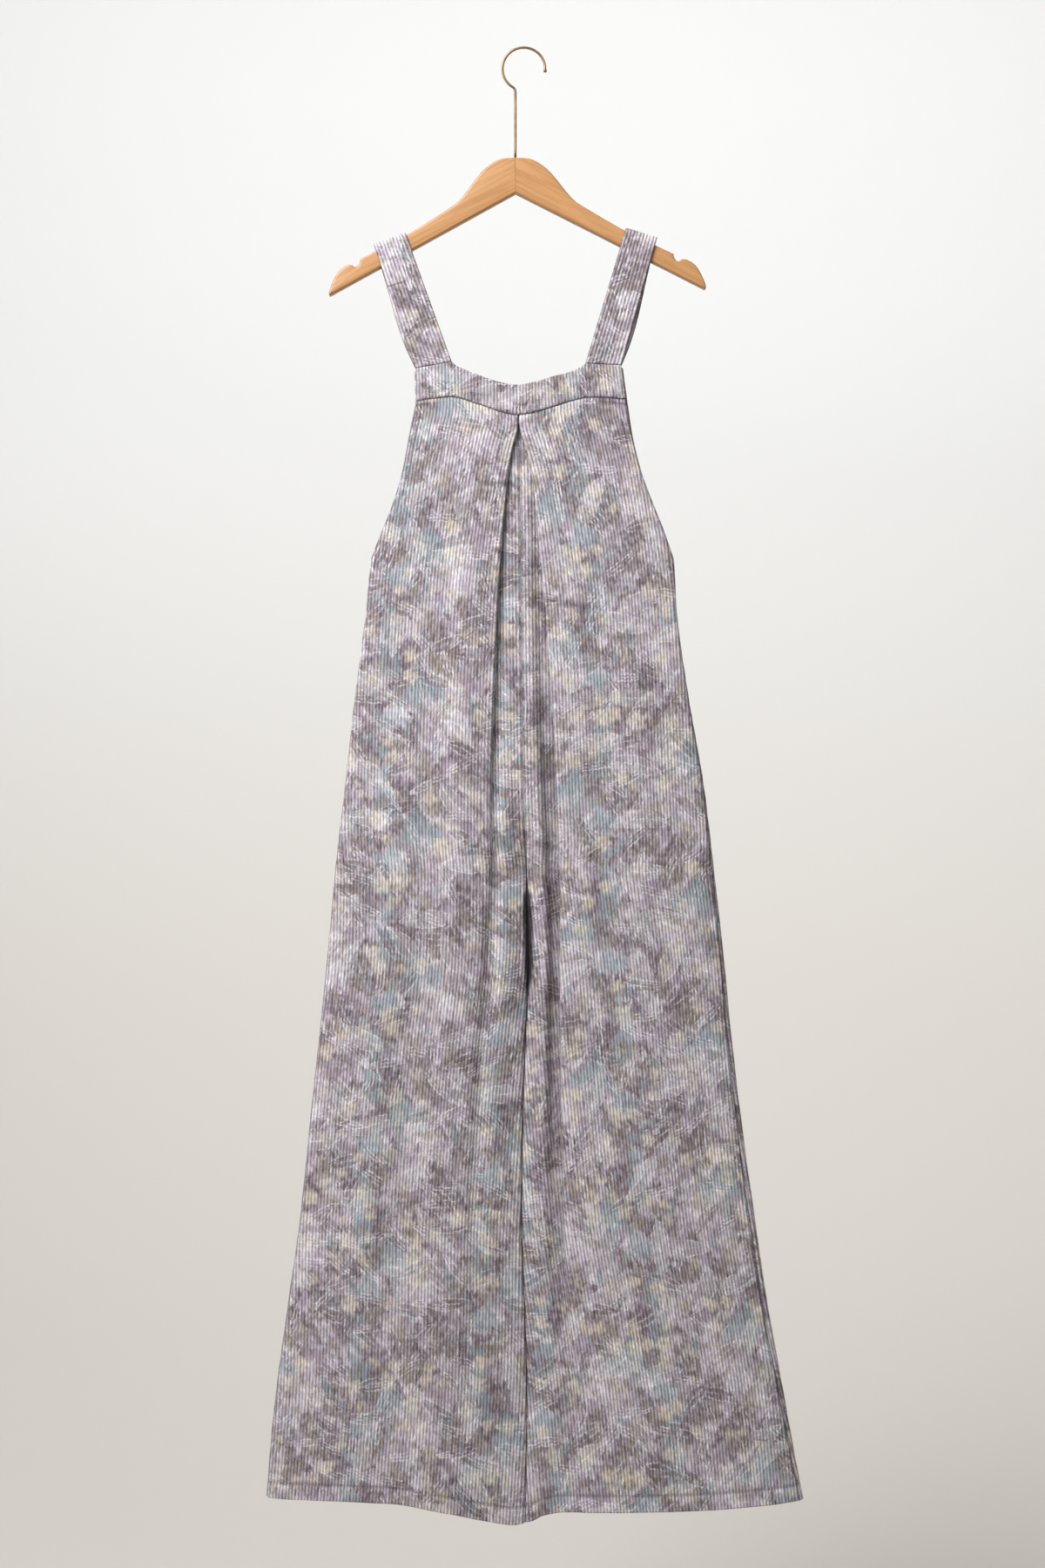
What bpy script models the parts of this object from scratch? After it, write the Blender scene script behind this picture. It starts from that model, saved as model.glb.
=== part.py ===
"""Wide-leg overalls of rib knit, hung flat on a wooden hanger.

The garment is cut and sewn from two front panels, two back panels, a front and a
back yoke, and two shoulder straps that pass over the hanger. An inverted pleat
opens below the front yoke. The hanger is two mitred wooden arms and a wire hook.

Frame: +X to the right of someone facing the garment, -Y towards them, +Z up.
The origin is where a rail or a nail bears, at the top inside the hook.
The tables are in millimetres.
"""

import math

import bmesh
import bpy
import numpy as np

MM = 0.001

# Cloth
CLOTH = 1.5  # thickness of the knit in the panels
DOUBLE_CLOTH = 2.4  # yokes and straps are two layers pressed together
SEAM_GAP = 0.3
RIB_PITCH = 3.7
RIB_HEIGHT = 0.35

# Body, one row for each level below the hook. left_x and right_x are the armhole
# edges and then the side seams; seam_x is the centre seam and then the line
# between the legs. The bulges are how far the front and the back stand out in the
# middle, and edge_half is half the depth at the edges.
BODY_COLUMNS = ("level", "left_x", "seam_x", "right_x", "front_bulge", "back_bulge", "edge_half")
BODY = (
    (-406, -122.5, -6.0, 117.0, 1.6, 1.0, 7.6),
    (-444, -130.5, -5.5, 123.0, 2.6, 1.4, 7.4),
    (-484, -138.5, -4.5, 133.5, 3.8, 1.9, 7.0),
    (-524, -150.5, -4.0, 148.5, 5.2, 2.4, 6.4),
    (-559, -164.5, -3.5, 162.5, 6.6, 2.9, 5.7),
    (-589, -175.0, -3.5, 171.5, 7.8, 3.4, 5.15),
    (-644, -180.5, -3.0, 175.0, 9.6, 4.2, 5.15),
    (-744, -193.5, -2.0, 188.5, 12.2, 5.2, 5.15),
    (-844, -204.5, -0.5, 205.5, 14.2, 6.0, 5.15),
    (-944, -216.0, 3.0, 217.5, 15.2, 6.4, 5.15),
    (-1044, -225.0, 5.5, 228.5, 14.6, 6.4, 5.15),
    (-1144, -235.5, 1.5, 238.5, 14.0, 6.6, 5.15),
    (-1244, -246.0, -1.5, 250.5, 14.0, 7.0, 5.15),
    (-1344, -256.5, -2.5, 264.5, 14.4, 7.4, 5.15),
    (-1444, -270.5, 1.0, 279.5, 15.0, 7.8, 5.15),
    (-1544, -284.0, 3.5, 297.5, 15.6, 8.2, 5.15),
    (-1624, -291.5, 2.5, 311.5, 16.0, 8.6, 5.15),
    (-1669, -294.0, 1.5, 319.5, 16.2, 8.8, 5.15),
)
TOP_LEVEL = -406.0
HEM_LEVEL = -1669.0
UNDERARM_LEVEL = -592.0  # where the side seams start
UNDERARM_RUN = 46.0  # the height over which an armhole edge turns into the side seam
CROTCH_LEVEL = -946.0
CROTCH_RUN = 86.0  # the height over which the centre seams come together
INSEAM_RISE = 60.0  # the height over which the centre seams start to turn inwards
SIDE_TURN_RUN = 7.85  # cloth that turns round at a side seam: a quarter circle of 5 mm
MIDDLE_GAP = 0.15  # how far an inseam's edge stays from the plane between front and back
BACK_ARMHOLE_EASE = 2.5  # the back bib is this much wider on each side
INSEAM_SET = 1.0  # how far the back lies in at the inseam
INSEAM_SET_RUN = 40.0  # the width over which it comes out again

# The inverted pleat on each side of the centre seam. edge is how far the visible
# fold lies from the seam, turn the angle through which the cloth turns under it,
# turn_run the cloth in each turn, flat_run the cloth between the two turns, and
# seam_set how far the cloth at the seam lies behind the front, or before it where that
# is below zero. The underlay stays up from the seam to ridge_end and falls to the
# valley over ridge_run, both as shares of edge.
PLEAT_COLUMNS = (
    "level", "edge", "turn", "turn_run", "flat_run", "seam_set", "ridge_end", "ridge_run",
)
PLEAT_LEFT = (
    (-421, 0.95, 180, 4.7, 20.0, 6.0, 0.35, 0.6),
    (-444, 7.5, 180, 4.7, 17.0, 5.9, 0.35, 0.6),
    (-484, 14.0, 178, 4.7, 13.0, 5.3, 0.35, 0.6),
    (-524, 18.5, 172, 4.8, 10.0, 4.7, 0.35, 0.6),
    (-589, 24.5, 158, 5.0, 6.0, 4.0, 0.35, 0.55),
    (-644, 28.0, 142, 5.2, 4.0, 3.4, 0.36, 0.5),
    (-744, 33.0, 114, 5.4, 3.0, 2.6, 0.4, 0.45),
    (-844, 38.0, 94, 5.6, 2.6, 1.8, 0.48, 0.36),
    (-944, 42.0, 72, 6.0, 2.0, 0.2, 0.58, 0.26),
    (-1044, 52.0, 48, 7.0, 1.5, -2.4, 0.56, 0.28),
    (-1144, 56.0, 38, 8.0, 1.5, -0.4, 0.55, 0.32),
    (-1244, 59.0, 30, 8.0, 1.5, 0.8, 0.5, 0.4),
    (-1344, 62.0, 23, 8.0, 1.5, 1.0, 0.45, 0.5),
    (-1444, 70.0, 15, 8.0, 1.5, 1.0, 0.4, 0.55),
    (-1669, 84.0, 8, 8.0, 1.5, 1.0, 0.35, 0.6),
)
PLEAT_RIGHT = (
    (-421, 0.95, 180, 4.7, 20.0, 6.0, 0.35, 0.6),
    (-444, 7.5, 180, 4.7, 17.0, 5.9, 0.35, 0.6),
    (-484, 15.0, 178, 4.7, 13.0, 5.3, 0.35, 0.6),
    (-524, 18.5, 172, 4.8, 10.0, 4.7, 0.35, 0.6),
    (-589, 23.5, 158, 5.0, 6.0, 4.0, 0.33, 0.5),
    (-644, 28.5, 145, 5.2, 4.0, 3.4, 0.3, 0.45),
    (-744, 34.5, 122, 5.4, 3.0, 2.6, 0.3, 0.4),
    (-844, 39.0, 104, 5.6, 3.0, 1.8, 0.36, 0.32),
    (-944, 39.5, 94, 5.6, 3.4, 0.2, 0.46, 0.22),
    (-1044, 37.0, 90, 5.6, 3.4, -2.4, 0.5, 0.2),
    (-1144, 42.0, 88, 5.8, 3.0, -0.4, 0.5, 0.22),
    (-1244, 46.0, 84, 6.0, 2.4, 0.8, 0.5, 0.26),
    (-1344, 49.5, 76, 6.4, 1.8, 1.0, 0.48, 0.3),
    (-1444, 51.0, 56, 7.0, 1.5, 1.0, 0.44, 0.4),
    (-1544, 58.0, 30, 8.0, 1.5, 1.0, 0.4, 0.5),
    (-1669, 66.0, 14, 8.0, 1.5, 1.0, 0.35, 0.6),
)

# Soft folds that hang down the cloth. A fold runs from its top level to its foot
# through three positions; a depth above zero is a valley and below zero a ridge.
FOLD_COLUMNS = ("top", "foot", "top_x", "middle_x", "foot_x", "half_width", "depth")
FOLD_TOP_SHARE = 0.2  # a fold deepens over this share of its length, and fades over the next one
FOLD_FOOT_SHARE = 0.3
# The folds start this far from the pleat or the back's centre seam, and are whole after
# this much more.
FOLD_CLEAR_OF_PLEAT = (4.0, 14.0)
FOLD_CLEAR_OF_SEAM = (12.0, 20.0)
FOLD_CLEAR_OF_SIDE = 22.0
FRONT_FOLDS = (
    (-440, -1480, -46, -78, -128, 13, -2.2),
    (-480, -1560, -90, -116, -168, 14, 2.2),
    (-450, -1620, -108, -150, -208, 13, -1.8),
    (-540, -1669, -134, -190, -252, 16, 2.6),
    (-500, -1500, 76, 92, 132, 20, 1.6),
    (-480, -1620, 112, 140, 196, 20, -1.6),
    (-600, -1669, 150, 196, 262, 18, 2.0),
)
BACK_FOLDS = (
    (-430, -1520, -58, -80, -122, 18, 2.4),
    (-520, -1640, -100, -138, -196, 18, -1.8),
    (-640, -1669, -140, -188, -246, 18, 1.8),
    (-430, -1560, 50, 74, 116, 18, 2.2),
    (-540, -1640, 96, 136, 190, 18, -1.8),
    (-660, -1669, 142, 190, 256, 18, 1.8),
)

# Levels of the rows of faces down the panels.
ROW_LEVELS = (
    TOP_LEVEL, -424, -446, -480, -530, -590, -644, -720, -800, -880,
    -946, -985, -1040, -1130, -1230, -1330, -1440, -1550, HEM_LEVEL,
)
# Faces across each stretch of a panel's section.
FRONT_CELLS = {"inner_turn": 4, "underlay": 6, "turn": 4, "flat_run": 1, "front": 11, "outer_turn": 3}
BACK_CELLS = {"inner_turn": 2, "front": 10, "outer_turn": 3}

# Top seam of the front panels, and the hem, as heights along x.
YOKE_SEAM = ((-130, -406.5), (-101, -402.5), (-84, -401.0), (-51, -409.7), (-8, -421.6),
             (35, -411.9), (57, -405.3), (75, -401.7), (94, -402.0), (125, -404.3))
BACK_YOKE_SEAM = ((-130, -406.5), (-60, -412.0), (-8, -416.0), (60, -411.0), (125, -404.3))
HEM = ((-296, -1661.5), (-227, -1661.0), (-154, -1663.3), (-93, -1674.0), (-45, -1685.0),
       (-8, -1692.0), (8, -1688.5), (23, -1680.3), (47, -1675.4), (168, -1672.5),
       (265, -1668.2), (322, -1664.0))
SEAM_FADE = 130.0  # the height over which the rows become level again

# Straps. outer and inner are the two corners of the base on the yoke's top edge.
# The straps run straight up from there to a fold over the hanger.
STRAP_BASE_LEFT = {"outer": (-123.5, -368.5), "inner": (-82.5, -361.0)}
STRAP_BASE_RIGHT = {"outer": (111.5, -365.0), "inner": (70.5, -363.0)}
STRAP_TILT_LEFT = 19.3  # degrees from upright, leaning outwards going up
STRAP_TILT_RIGHT = 16.2
STRAP_RIBS = 10
STRAP_ROWS_DOWN = 2
STRAP_ARCH_RADIUS = 4.5
STRAP_CLEARANCE = 0.9  # between the wood and the strap over it
BACK_STRAP_SWING = 6.0  # the back of a strap hangs this far outside its front
NECKLINE = ((-82.5, -361.0), (-77.5, -365.2), (-60, -372.8), (-42.7, -379.3), (-25.3, -384.7),
            (-8, -387.2), (13.7, -383.7), (31.1, -378.2), (48.5, -373.9), (61.5, -368.5), (70.5, -363.0))

# Hanger. The outline of one arm runs from the mitre at the top, along its upper
# edge, round the notch and the tip, and back along the straight lower edge.
HANGER_THICKNESS = 12.0
HANGER_TOP = (-10.0, -125.8)
HANGER_TILT = 1.0  # degrees, the left arm hangs lower
ARM_EDGE_ROUND = 2.4
ARM_OUTLINE_COLUMNS = ("out", "down", "corner")
ARM_OUTLINE = (
    (0.15, 0.0, True),
    (18.0, 1.9, False),
    (34.0, 11.5, False),
    (45.6, 24.0, False),
    (56.3, 38.0, False),
    (66.3, 49.5, False),
    (79.5, 58.8, False),
    (124.5, 86.0, False),
    (160.7, 104.2, False),
    (179.5, 113.4, True),
    (181.2, 119.4, False),
    (185.0, 122.0, False),
    (189.0, 119.8, True),
    (195.0, 120.4, False),
    (205.0, 127.5, False),
    (212.5, 140.5, False),
    (216.5, 152.2, False),
    (214.8, 154.4, True),
    (0.15, 41.0, True),
)

WIRE = 2.8
HOOK_RADIUS = 24.5  # of the wire's centreline
HOOK_START = -2.0  # degrees from +X, where the open end is
HOOK_END = 238.0
HOOK_NECK_RADIUS = 6.9
HOOK_STEP = 8.0  # degrees between points

MATERIALS = {
    "rib_knit": {"color": (0.52, 0.47, 0.52), "roughness": 0.95, "metallic": 0.0},
    "beech": {"color": (0.72, 0.42, 0.20), "roughness": 0.5, "metallic": 0.0},
    "brass_wire": {"color": (0.50, 0.38, 0.24), "roughness": 0.35, "metallic": 1.0},
}


def clear_scene():
    """Removes whatever the startup file holds."""
    for old in list(bpy.data.objects):
        bpy.data.objects.remove(old)


def material(name):
    """The Principled material of that name, made once."""
    found = bpy.data.materials.get(name)
    if found:
        return found
    made = bpy.data.materials.new(name)
    made.use_nodes = True
    shader = made.node_tree.nodes["Principled BSDF"]
    look = MATERIALS[name]
    shader.inputs["Base Color"].default_value = (*look["color"], 1)
    shader.inputs["Roughness"].default_value = look["roughness"]
    shader.inputs["Metallic"].default_value = look["metallic"]
    return made


def curve_through(at, knots, values):
    """A smooth curve through the knots that doesn't overshoot."""
    knots, values = np.asarray(knots, float), np.asarray(values, float)
    if knots[0] > knots[-1]:
        knots, values = knots[::-1], values[::-1]
    rises = np.diff(values) / np.diff(knots)
    before, after = rises[:-1], rises[1:]
    same_way = before * after > 0
    harmonic = 2 * before * after / np.where(same_way, before + after, 1.0)
    slopes = np.concatenate([rises[:1], np.where(same_way, harmonic, 0.0), rises[-1:]])
    at = np.clip(np.asarray(at, float), knots[0], knots[-1])
    i = np.clip(np.searchsorted(knots, at) - 1, 0, len(knots) - 2)
    step = knots[i + 1] - knots[i]
    t = (at - knots[i]) / step
    rise = values[i] * (2 * t**3 - 3 * t**2 + 1) + values[i + 1] * (3 * t**2 - 2 * t**3)
    bend = slopes[i] * (t**3 - 2 * t**2 + t) + slopes[i + 1] * (t**3 - t**2)
    return rise + step * bend


def table_at(level, columns, rows):
    """The table's values at a level, by column name."""
    data = np.array(rows, float)
    return {name: float(curve_through(level, data[:, 0], data[:, k])) for k, name in enumerate(columns)}


def height_along(x, points):
    """The height of an edge that is given as (x, height) points."""
    data = np.array(points, float)
    return curve_through(x, data[:, 0], data[:, 1])


def ease(t):
    """0 below 0, 1 above 1, and smooth between."""
    t = np.clip(t, 0.0, 1.0)
    return t * t * (3 - 2 * t)


def fold_depth(x, level, folds):
    """How far the soft folds set the cloth back at x."""
    depth = np.zeros_like(x)
    for row in folds:
        fold = dict(zip(FOLD_COLUMNS, row))
        span = fold["top"] - fold["foot"]
        t = (fold["top"] - level) / span
        if not 0 < t < 1:
            continue
        places = (fold["top_x"], fold["middle_x"], fold["foot_x"])
        line = curve_through(t, (0, 0.5, 1), places)
        strength = ease(t / FOLD_TOP_SHARE) * ease((1 - t) / FOLD_FOOT_SHARE)
        depth += fold["depth"] * strength * np.exp(-(((x - line) / fold["half_width"]) ** 2))
    return depth


class Panel:
    """One of the four panels: side is -1 for the left or 1, and face is -1 for the front or 1."""

    STEP = 0.2  # spacing of the dense section that the faces are read from

    def __init__(self, side, face):
        self.side = side
        self.face = face
        self.folds = FRONT_FOLDS if face < 0 else BACK_FOLDS
        self.pleat = (PLEAT_LEFT if side < 0 else PLEAT_RIGHT) if face < 0 else None
        self.cells = FRONT_CELLS if face < 0 else BACK_CELLS
        self.top_seam = YOKE_SEAM if face < 0 else BACK_YOKE_SEAM

    def half_width(self, level, body):
        """From the centre seam out to the armhole edge or the side seam."""
        width = self.side * (body["left_x" if self.side < 0 else "right_x"] - body["seam_x"])
        if self.face > 0:
            width += BACK_ARMHOLE_EASE * ease((level - UNDERARM_LEVEL) / (TOP_LEVEL - UNDERARM_LEVEL))
        return width

    def stretches(self, level, body):
        """The stretches of cloth from the inner edge outwards.

        Each has its length and its heading at both ends. The heading is 0 along the
        body and 90 degrees straight out of it.
        """
        parting = float(ease((CROTCH_LEVEL + INSEAM_RISE - level) / INSEAM_RISE))
        inner_turn = math.pi / 2 * parting
        outer_turn = math.pi / 2 * float(ease((UNDERARM_LEVEL + UNDERARM_RUN - level) / UNDERARM_RUN))
        pleat = table_at(level, PLEAT_COLUMNS, self.pleat) if self.pleat else None
        seam_set = pleat["seam_set"] if pleat else INSEAM_SET * parting
        inner_run = math.pi / 2 * (body["edge_half"] - MIDDLE_GAP - seam_set)
        rows = [["inner_turn", inner_run, inner_turn, 0.0]]
        start = SEAM_GAP / 2 + CLOTH / 2 * math.sin(inner_turn)
        used = start + run_across(inner_run, inner_turn, 0.0)
        if pleat:
            turn = math.radians(pleat["turn"])
            turn_across = run_across(pleat["turn_run"], 0.0, turn)
            radius = pleat["turn_run"] / turn
            front_start = pleat["edge"] + radius * math.sin(min(turn, math.pi / 2))
            underlay = front_start - 2 * turn_across - pleat["flat_run"] * math.cos(turn) - used
            rows += [
                ["underlay", underlay, 0.0, 0.0],
                ["turn", pleat["turn_run"], 0.0, turn],
                ["flat_run", pleat["flat_run"], turn, turn],
                ["turn", pleat["turn_run"], turn, 0.0],
            ]
            used = front_start
        outer_across = run_across(SIDE_TURN_RUN, 0.0, outer_turn)
        rows.append(["front", self.half_width(level, body) - outer_across - used, 0.0, 0.0])
        rows.append(["outer_turn", SIDE_TURN_RUN, 0.0, -outer_turn])
        return rows, start, seam_set

    def section(self, level):
        """The middle of the cloth across the panel at one level, with outward normals, inner edge first."""
        body = table_at(level, BODY_COLUMNS, BODY)
        rows, start, seam_set = self.stretches(level, body)
        dense_length = sum(row[1] for row in rows)
        s = np.linspace(0, dense_length, max(50, int(dense_length / self.STEP)))
        ends = np.concatenate([[0], np.cumsum([row[1] for row in rows])])
        heading = np.interp(
            s,
            np.ravel([(a, b) for a, b in zip(ends[:-1] + 1e-6, ends[1:])]),
            np.ravel([(row[2], row[3]) for row in rows]),
        )
        middle = (heading[1:] + heading[:-1]) / 2
        steps = np.diff(s)
        across = start + np.concatenate([[0], np.cumsum(np.cos(middle) * steps)])
        raw_out = np.concatenate([[0], np.cumsum(np.sin(middle) * steps)])
        out = raw_out - np.interp(ends[-2], s, raw_out)
        x = body["seam_x"] + self.side * across
        width = across[-1]
        out += self.bulge(level, body, across, start, width)
        if self.pleat:
            pleat = table_at(level, PLEAT_COLUMNS, self.pleat)
            depth = np.interp(ends[-3], s, raw_out) - np.interp(ends[2], s, raw_out)
            place = across / max(pleat["edge"], 1.0)
            ridge = 1 - ease((place - pleat["ridge_end"]) / pleat["ridge_run"])
            out += (depth - seam_set) * ridge * (s <= ends[2] + 1e-6)
            clear, grow = FOLD_CLEAR_OF_PLEAT
            window = ease((s - ends[-3] - clear) / grow)
        else:
            out -= seam_set * (1 - ease((across - start) / INSEAM_SET_RUN))
            clear, grow = FOLD_CLEAR_OF_SEAM
            window = ease((s - clear) / grow)
        window = window * ease((dense_length - SIDE_TURN_RUN - s) / FOLD_CLEAR_OF_SIDE)
        out -= fold_depth(x, level, self.folds) * window
        y = self.face * (body["edge_half"] + out)
        normal_x, normal_y = self.normals(x, y)
        picks = self.columns(rows, ends)
        return {
            "x": np.interp(picks, s, x),
            "y": np.interp(picks, s, y),
            "normal_x": np.interp(picks, s, normal_x),
            "normal_y": np.interp(picks, s, normal_y),
        }

    def bulge(self, level, body, across, start, width):
        """How far the cloth stands out beyond its edges, over the whole body and then over each leg."""
        swell = body["front_bulge" if self.face < 0 else "back_bulge"]
        body_place = np.abs(across / width)
        leg_place = np.abs(2 * (across - start) / (width - start) - 1)
        leg = float(ease((CROTCH_LEVEL + CROTCH_RUN - level) / CROTCH_RUN))
        return swell * ((1 - leg) * (1 - body_place**3) + leg * (1 - leg_place**3))

    def normals(self, x, y):
        """Unit normals that point out of the garment."""
        along_x, along_y = np.gradient(x), np.gradient(y)
        length = np.hypot(along_x, along_y)
        outward = self.face * self.side
        return -outward * along_y / length, outward * along_x / length

    def columns(self, rows, ends):
        """Where along the cloth the faces' edges lie."""
        picks = [ends[0]]
        for (name, _length, _start, _end), low, high in zip(rows, ends[:-1], ends[1:]):
            count = self.cells[name]
            picks += list(np.linspace(low, high, count + 1)[1:])
        return np.array(picks)

    def surfaces(self):
        """The outer and the inner points of the wall, as arrays of rows by columns by 3."""
        outer, inner = [], []
        for level in ROW_LEVELS:
            cut = self.section(level)
            z = np.full_like(cut["x"], float(level))
            rise = height_along(cut["x"], self.top_seam) - SEAM_GAP - TOP_LEVEL
            z += rise * (1 - ease((TOP_LEVEL - level) / SEAM_FADE))
            drop = height_along(cut["x"], HEM) - HEM_LEVEL
            z += drop * ease((HEM_LEVEL + SEAM_FADE - level) / SEAM_FADE)
            middle = np.stack([cut["x"], cut["y"], z], axis=1)
            across = np.stack([cut["normal_x"], cut["normal_y"], np.zeros_like(z)], axis=1)
            outer.append(middle + across * CLOTH / 2)
            inner.append(middle - across * CLOTH / 2)
        return np.array(outer), np.array(inner)


def run_across(length, heading, end_heading):
    """How far outwards a stretch of cloth goes whose heading turns evenly."""
    turn = end_heading - heading
    if abs(turn) < 1e-9:
        return length * math.cos(heading)
    return length * (math.sin(end_heading) - math.sin(heading)) / turn


def wall(name, outer, inner, look):
    """A closed wall between two grids of points, with its four edges closed."""
    rows, columns = outer.shape[:2]
    points = np.concatenate([outer.reshape(-1, 3), inner.reshape(-1, 3)]) * MM
    place = np.arange(rows * columns).reshape(rows, columns)
    other = place + rows * columns

    def strip(a, b):
        return np.stack([a[:-1], a[1:], b[1:], b[:-1]], axis=-1).reshape(-1, 4)

    faces = np.concatenate(
        [
            np.stack([place[:-1, :-1], place[:-1, 1:], place[1:, 1:], place[1:, :-1]], axis=-1).reshape(-1, 4),
            np.stack([other[:-1, :-1], other[1:, :-1], other[1:, 1:], other[:-1, 1:]], axis=-1).reshape(-1, 4),
            strip(other[0], place[0]),
            strip(place[-1], other[-1]),
            strip(place[:, 0], other[:, 0]),
            strip(other[:, -1], place[:, -1]),
        ]
    )
    mesh = bpy.data.meshes.new(name)
    mesh.from_pydata(points.tolist(), [], faces.tolist())
    shell = bmesh.new()
    shell.from_mesh(mesh)
    bmesh.ops.recalc_face_normals(shell, faces=shell.faces)
    bmesh.ops.triangulate(shell, faces=shell.faces)
    shell.to_mesh(mesh)
    shell.free()
    mesh.shade_smooth()
    mesh.set_sharp_from_angle(angle=math.radians(50))
    return add_object(name, mesh, look)


def add_object(name, data, look):
    """An object of the garment's collection with its material."""
    made = bpy.data.objects.new(name, data)
    data.materials.append(material(look))
    bpy.data.collections["overalls"].objects.link(made)
    return made


def rib_profile(distance):
    """Height of the ribs at a distance across them, a crest every RIB_PITCH."""
    return RIB_HEIGHT * (0.5 + 0.5 * np.cos(2 * math.pi * distance / RIB_PITCH))


def yoke_top(x):
    """The yoke's top edge: straight under each strap, and the neckline between them."""
    left, right = STRAP_BASE_LEFT, STRAP_BASE_RIGHT
    z = height_along(x, NECKLINE)
    on_left = np.interp(x, (left["outer"][0], left["inner"][0]), (left["outer"][1], left["inner"][1]))
    on_right = np.interp(x, (right["inner"][0], right["outer"][0]), (right["inner"][1], right["outer"][1]))
    z = np.where(x < left["inner"][0], on_left, z)
    return np.where(x > right["inner"][0], on_right, z)


def yoke(name, face):
    """A band across the top of the bib, with its ribs upright and a face for each side of a rib."""
    ease_out = BACK_ARMHOLE_EASE if face > 0 else 0.0
    body = table_at(TOP_LEVEL, BODY_COLUMNS, BODY)
    left_x, right_x = body["left_x"] - ease_out, body["right_x"] + ease_out
    centre = body["seam_x"]
    half = RIB_PITCH / 2
    first = math.ceil((left_x - centre) / half) + 1
    last = math.floor((right_x - centre) / half) - 1
    foot_x = np.concatenate([[left_x], centre + half * np.arange(first, last + 1), [right_x]])
    corner_left = STRAP_BASE_LEFT["outer"][0] - ease_out
    corner_right = STRAP_BASE_RIGHT["outer"][0] + ease_out
    top_x = np.interp(foot_x, (left_x, centre, right_x), (corner_left, centre, corner_right))
    swell = body["front_bulge" if face < 0 else "back_bulge"]
    place = np.abs((foot_x - (left_x + right_x) / 2) / ((right_x - left_x) / 2))
    depth = body["edge_half"] + swell * (1 - place**3)
    foot_z = height_along(foot_x, YOKE_SEAM if face < 0 else BACK_YOKE_SEAM)
    rows = ((foot_x, foot_z), (top_x, yoke_top(top_x)))
    ribs = rib_profile(foot_x - centre)
    outer = [np.stack([x, face * (depth + DOUBLE_CLOTH / 2 - RIB_HEIGHT + ribs), z], axis=1) for x, z in rows]
    inner = [np.stack([x, face * (depth - DOUBLE_CLOTH / 2), z], axis=1) for x, z in rows]
    return wall(name, np.array(outer), np.array(inner), "rib_knit")


def arm_top_at(x):
    """Height of the hanger's upper edge at x, on the smooth stretch where the straps lie."""
    side = -1 if x < HANGER_TOP[0] else 1
    tilt = math.radians(HANGER_TILT)
    edge = [(row[0], -row[1]) for row in ARM_OUTLINE[4:9]]
    turned = [
        (
            HANGER_TOP[0] + side * out * math.cos(tilt) - up * math.sin(tilt),
            HANGER_TOP[1] + side * out * math.sin(tilt) + up * math.cos(tilt),
        )
        for out, up in edge
    ]
    turned.sort()
    return float(height_along(x, turned))


def strap(name, side):
    """A strap from the front yoke, over the hanger, to the back yoke, with its ribs lengthwise."""
    base = STRAP_BASE_LEFT if side < 0 else STRAP_BASE_RIGHT
    tilt = math.radians(STRAP_TILT_LEFT if side < 0 else STRAP_TILT_RIGHT)
    outer_x, outer_z = base["outer"]
    inner_x, inner_z = base["inner"]
    up = np.array([side * math.sin(tilt), math.cos(tilt)])
    across = np.array([side * math.cos(tilt), -math.sin(tilt)])  # outwards, square to the strap
    inner_corner = np.array([inner_x, inner_z + SEAM_GAP])
    width = float(np.dot(np.array([outer_x, outer_z]) - np.array([inner_x, inner_z]), across))
    columns = np.linspace(0, width, 2 * STRAP_RIBS + 1)
    # The strap's inner edge meets the hanger first, because the arm slopes away faster.
    depth = HANGER_THICKNESS / 2 + SEAM_GAP + DOUBLE_CLOTH / 2
    reach = 0.0
    for _ in range(60):
        crest = arm_top_at(inner_corner[0] + up[0] * reach) + STRAP_CLEARANCE + DOUBLE_CLOTH / 2
        reach = (crest - inner_corner[1]) / up[1]
    rise = reach - STRAP_ARCH_RADIUS
    slope = (outer_z - inner_z) / (outer_x - inner_x)
    outer, inner = [], []
    for row in strap_rows(depth, rise):
        run, y, normal_up, normal_y, swing, base_share = row
        # Each rib starts on the yoke's sloping edge, so its foot is higher or lower than the corner.
        foot = columns * (slope * across[0] - across[1]) / (up[1] - slope * up[0])
        along = run + foot * base_share
        x = inner_corner[0] + up[0] * along + across[0] * (columns + swing)
        z = inner_corner[1] + up[1] * along + across[1] * (columns + swing)
        ribs = rib_profile(columns - width / 2 + RIB_PITCH / 2)[:, None]
        normal = np.array([up[0] * normal_up, normal_y, up[1] * normal_up])
        middle = np.stack([x, np.full_like(x, y), z], axis=1)
        outer.append(middle + normal * (DOUBLE_CLOTH / 2 - RIB_HEIGHT + ribs))
        inner.append(middle - normal * DOUBLE_CLOTH / 2)
    return wall(name, np.array(outer), np.array(inner), "rib_knit")


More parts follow.
